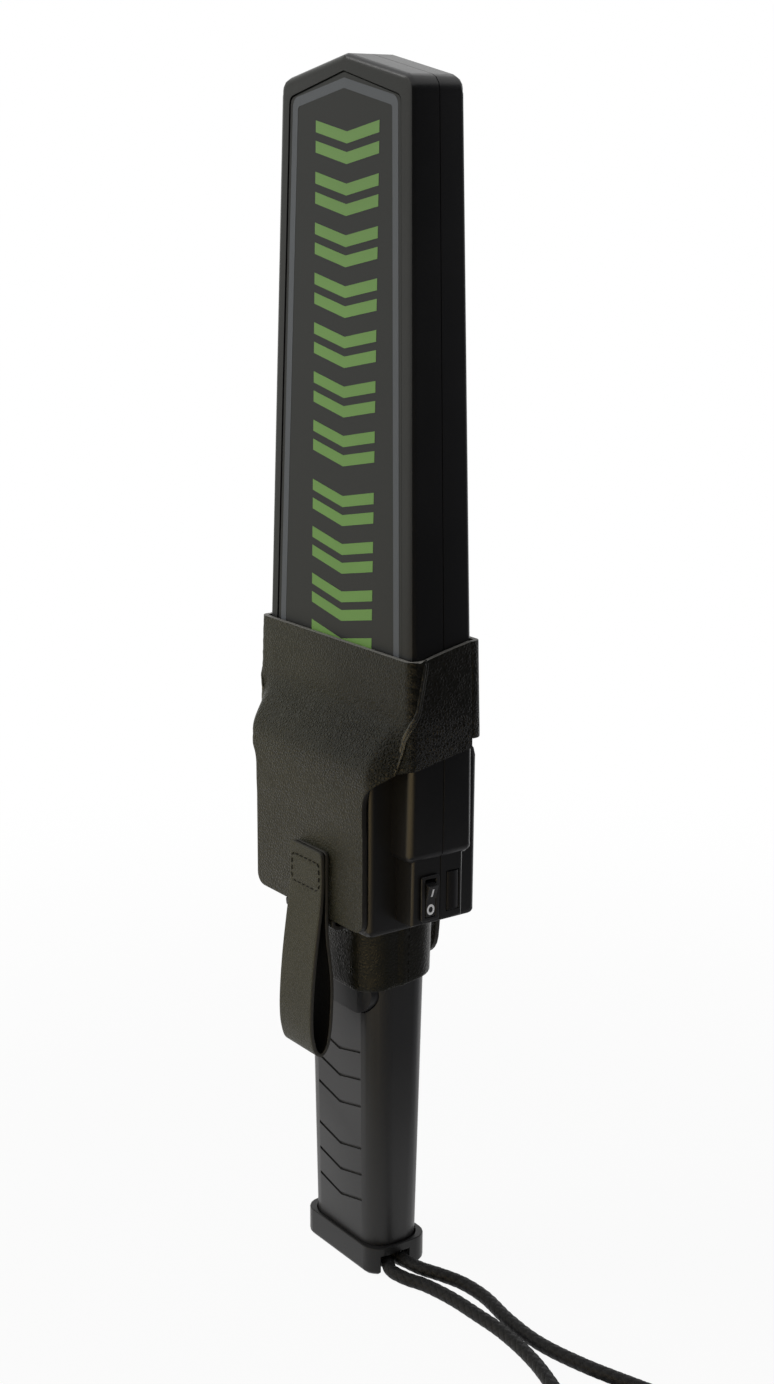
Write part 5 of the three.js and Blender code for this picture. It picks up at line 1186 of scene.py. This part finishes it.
def rounded_ring(half_x, front_y, rear_y, radius, per_side=10, per_corner=8):
    """A rounded rectangle from the front's left end round, counter-clockwise from above."""
    centres = ((half_x - radius, front_y + radius, -90), (half_x - radius, rear_y - radius, 0),
               (-half_x + radius, rear_y - radius, 90), (-half_x + radius, front_y + radius, 180))
    corners = []
    for x, y, start in centres:
        turns = [math.radians(start + 90 * i / per_corner) for i in range(per_corner + 1)]
        corners.append([(x + radius * math.cos(turn), y + radius * math.sin(turn)) for turn in turns])
    ring = []
    for corner, after in zip(corners, corners[1:] + corners[:1]):
        (x0, y0), (x1, y1) = corner[-1], after[0]
        ring += corner + [(mix(x0, x1, k / per_side), mix(y0, y1, k / per_side)) for k in range(1, per_side)]
    return ring


# Straps, in millimetres: the neck band's tongue from the grip up to the housing as (y, z), the step where the
# band laps over itself, the corners of the loop and the tab, the square that sews the loop down as least and
# greatest x and z, and how the stitches pull it in.

TONGUE_LINE = ((-14.95, 127.5), (-15.4, 129.6), (-16.6, 130.7), (-18.8, 131.05), (-21.6, 131.1),
               (-22.55, 131.5), (-22.75, 132.4), (-22.75, 133.4))
LAP_STEP, LOOP_CORNER, TAB_CORNER = 0.75, 1.6, 7.0
SEWN, SEWN_RUN, SEWN_SWELL, SEWN_SINK = (-4.6, 11.4, 143.6, 153.2), 22, 0.12, 0.16
STITCH_PROUD, TAB_SEWN_Z = 0.02, 214


def make_neck_band(size):
    grid = []
    for climb in spread(0, 1, 18):
        z = mix(NECK_FRONT_Z, NECK_TOP_Z, climb)
        lean = (NECK_REAR_Z - NECK_FRONT_Z) * (1 - climb)
        half_x, half_y = grip_half(z)
        row = []
        for x, y in rounded_ring(half_x + GAP, -half_y - BUTTON_PROUD - 2 * GAP, half_y + GAP, GRIP_RADIUS + GAP):
            layer = LAP_STEP * smooth_step(y, -3.2, -2.6) * smooth_step(x, 8, 16)
            swell = 0.3 * max(0.0, noise.noise(Vector((x * 0.11, z * 0.16, 5.0)))) * (y < 0)
            reach = math.hypot(x / half_x, y / half_y)
            grow = 1 + (layer + swell) / (max(half_x, half_y) * reach)
            row.append((x * grow, y * grow, z + lean * (y + half_y) / (2 * half_y)))
        grid.append(row)
    band = leather_sheet("neck_band_leather", grid, size.neck, ("neck_leather", "cut_edge"), closed=True)
    line, _ = smooth_curve([(0, y, z) for y, z in TONGUE_LINE], 22)
    strip = [[(x, p.y, p.z) for x in spread(-NECK_TONGUE, NECK_TONGUE, 15)] for p in line]
    tongue = leather_sheet("neck_tongue", strip, size.neck, ("neck_leather", "dark_edge"))
    seat(band, "case", "leather", "neck_band")
    seat(tongue, "case", "leather")


def loop_line(count):
    """The belt loop strap's middle line, from its sewn top end down, round and up inside."""
    inner_y = -(HOUSING_DEPTH + GAP + LEATHER) - GAP - STRAP_LEATHER / 2
    outer_y = inner_y - GAP - STRAP_LEATHER
    places = [(0, outer_y - LOOP_SWING * depth, LOOP_LOW_Z + (LOOP_TOP_Z - LOOP_LOW_Z) * height)
              for depth, height in zip(LOOP_DEPTH_SHARES, LOOP_HEIGHT_SHARES)]
    places += [(0, inner_y, z) for z in (LOOP_NECK_Z, (LOOP_NECK_Z + LOOP_TOP_Z) / 2, LOOP_TOP_Z)]
    return smooth_curve(places, count)


def make_belt_loop(size):
    count = 230
    line, length = loop_line(count)
    grid = []
    for i, point in enumerate(line):
        ahead = heading(line, i)
        out = Vector((0, ahead.z, -ahead.y))
        run = length * i / (count - 1)
        half = LOOP_HALF - corner_drop(min(run, length - run), 0, LOOP_CORNER)
        row = []
        for x in spread(half, -half, 17):
            lift = 0.0
            if run < SEWN_RUN:
                near = min(x + LOOP_X - SEWN[0], SEWN[1] - x - LOOP_X, point.z - SEWN[2], SEWN[3] - point.z)
                lift = SEWN_SWELL * smooth_step(near, 0.2, 1.3) - SEWN_SINK * math.exp(-(near / 0.45) ** 2)
            row.append(point - out * (STRAP_LEATHER / 2 - lift) + Vector((x + LOOP_X, 0, 0)))
        grid.append(row)
    # Painted shade: the loop's inner face takes the near-black flesh side finish.
    loop = leather_sheet(
        "belt_loop_strap", grid, size.strap, ("strap_leather", "strap_edge", "flesh_side_shade"), edge=0.3, inner=2)
    seat(loop, "case", "leather", "belt_loop")


def tab_depth(z):
    """Depth of the rear tab's inner face: on the rear panel, stepping out over the housing, then drawn in."""
    on_panel = 2 * GAP + LEATHER
    if z >= RISE_TOP_Z:
        return rear_depth(z) + on_panel
    if z < TAB_HANG_Z:
        return HOUSING_DEPTH + GAP - TAB_DRAW * ((TAB_HANG_Z - z) / (TAB_HANG_Z - TAB_LOW_Z)) ** 2
    return mix(rear_depth(RISE_TOP_Z) + on_panel, HOUSING_DEPTH + GAP, rise(z))


def make_rear_tab(size):
    grid = []
    for z in [TAB_LOW_Z + d for d in (0, 0.3, 0.9, 1.8, 3, 4.8)] + spread(TAB_LOW_Z + 7, TAB_TOP_Z, 70):
        half = TAB_HALF - corner_drop(z, TAB_LOW_Z, TAB_CORNER)
        grid.append([(x, tab_depth(z), z) for x in spread(half, -half, 13)])
    tab = leather_sheet("rear_tab_strap", grid, size.leather, ("strap_leather", "strap_edge"))
    seat(tab, "case", "leather", "rear_tab")


class WAND_OT_straps(bpy.types.Operator):
    """Makes the neck band, the belt loop and the rear tab."""

    bl_idname = "wand.straps"
    bl_label = "Straps"

    def execute(self, context):
        size = context.scene.wand_sizes
        make_neck_band(size)
        make_belt_loop(size)
        make_rear_tab(size)
        return {"FINISHED"}


def stitch_tree():
    """Short threads at an even pitch along a line, each laid along it."""
    tree, given, end = group_tree(
        "Stitch run", "GeometryNodeTree",
        {"Line": ("Geometry", None), "Pitch": ("Float", 0.0026), "Length": ("Float", 0.0018),
         "Thread": ("Float", 0.0004)}, {"Stitches": "Geometry"})
    curve = new_node(tree, "GeometryNodeMeshToCurve", {"Mesh": given["Line"]})
    even = new_node(
        tree, "GeometryNodeResampleCurve", {"Curve": curve.outputs[0], "Length": given["Pitch"]}, mode="LENGTH")
    thread = new_node(tree, "GeometryNodeMeshUVSphere", {"Segments": 8, "Rings": 6, "Radius": 0.5})
    tangent = tree.nodes.new("GeometryNodeInputTangent")
    align = new_node(tree, "FunctionNodeAlignEulerToVector", {"Vector": tangent.outputs[0]}, axis="Z")
    scale = new_node(
        tree, "ShaderNodeCombineXYZ", {"X": given["Thread"], "Y": given["Thread"], "Z": given["Length"]})
    place_copies(tree, end, "thread", Points=even.outputs[0], Instance=thread.outputs[0],
                 Rotation=align.outputs[0], Scale=scale.outputs[0])
    return tree


def stitch_run(name, tree, size, places, closed=False):
    edges = [(i, i + 1) for i in range(len(places) - 1)] + [(len(places) - 1, 0)] * closed
    run = mesh_object(name, places, [], (), edges)
    repeat(run, tree, Pitch=size.stitch_pitch, Length=size.stitch_length, Thread=size.thread)
    return seat(run, "case", "leather")


class WAND_OT_stitches(bpy.types.Operator):
    """Sews the belt loop's square, the rear tab and the neck band's lap."""

    bl_idname = "wand.stitches"
    bl_label = "Stitches"

    def execute(self, context):
        size = context.scene.wand_sizes
        tree = stitch_tree()
        x0, x1, z0, z1 = SEWN
        face_y = -(HOUSING_DEPTH + GAP + LEATHER) - 2 * (GAP + STRAP_LEATHER) - STITCH_PROUD
        square = rounded_ring((x1 - x0) / 2, -(z1 - z0) / 2, (z1 - z0) / 2, 1.6, 6, 4)
        stitch_run("loop_stitches", tree, size,
                   [((x0 + x1) / 2 + x, face_y, (z0 + z1) / 2 + z) for x, z in square], True)
        stitch_run("tab_stitches", tree, size,
                   [(x, rear_depth(TAB_SEWN_Z + z) + 2 * (GAP + LEATHER) + STITCH_PROUD, TAB_SEWN_Z + z)
                    for x, z in rounded_ring(6.6, -6, 6, 1.2, 6, 4)], True)
        stitch_run("lap_stitches", tree, size,
                   [(grip_half(z)[0] + GAP + 2.27, 0.2, z + 1.3) for z in spread(109, 127, 12)])
        return {"FINISHED"}


# Panel and registration.

STEPS = ("stage", "cord", "case", "labels", "switch_marks", "sleeve", "straps", "stitches")


class WAND_PT_panel(bpy.types.Panel):
    """Sizes, colours and steps of the wand."""

    bl_idname = "WAND_PT_panel"
    bl_label = "Metal Detector Wand"
    bl_space_type = "VIEW_3D"
    bl_region_type = "UI"
    bl_category = "Wand"

    def draw(self, context):
        layout = self.layout
        for group in (context.scene.wand_sizes, context.scene.wand_colours):
            box = layout.box()
            for name in group.bl_rna.properties.keys():
                if name not in ("rna_type", "name"):
                    box.prop(group, name)
        for step in STEPS:
            layout.operator(f"wand.{step}")


CLASSES = (
    WandSizes, WandColours, WAND_OT_stage, WAND_OT_cord, WAND_OT_case, WAND_OT_labels, WAND_OT_switch_marks,
    WAND_OT_sleeve, WAND_OT_straps, WAND_OT_stitches, WAND_PT_panel,
)


def register():
    for item in CLASSES:
        bpy.utils.register_class(item)
    bpy.types.Scene.wand_sizes = bpy.props.PointerProperty(type=WandSizes)
    bpy.types.Scene.wand_colours = bpy.props.PointerProperty(type=WandColours)


def unregister():
    del bpy.types.Scene.wand_colours
    del bpy.types.Scene.wand_sizes
    for item in reversed(CLASSES):
        bpy.utils.unregister_class(item)


def main():
    register()
    for step in STEPS:
        getattr(bpy.ops.wand, step)()


if __name__ == "__main__":
    main()
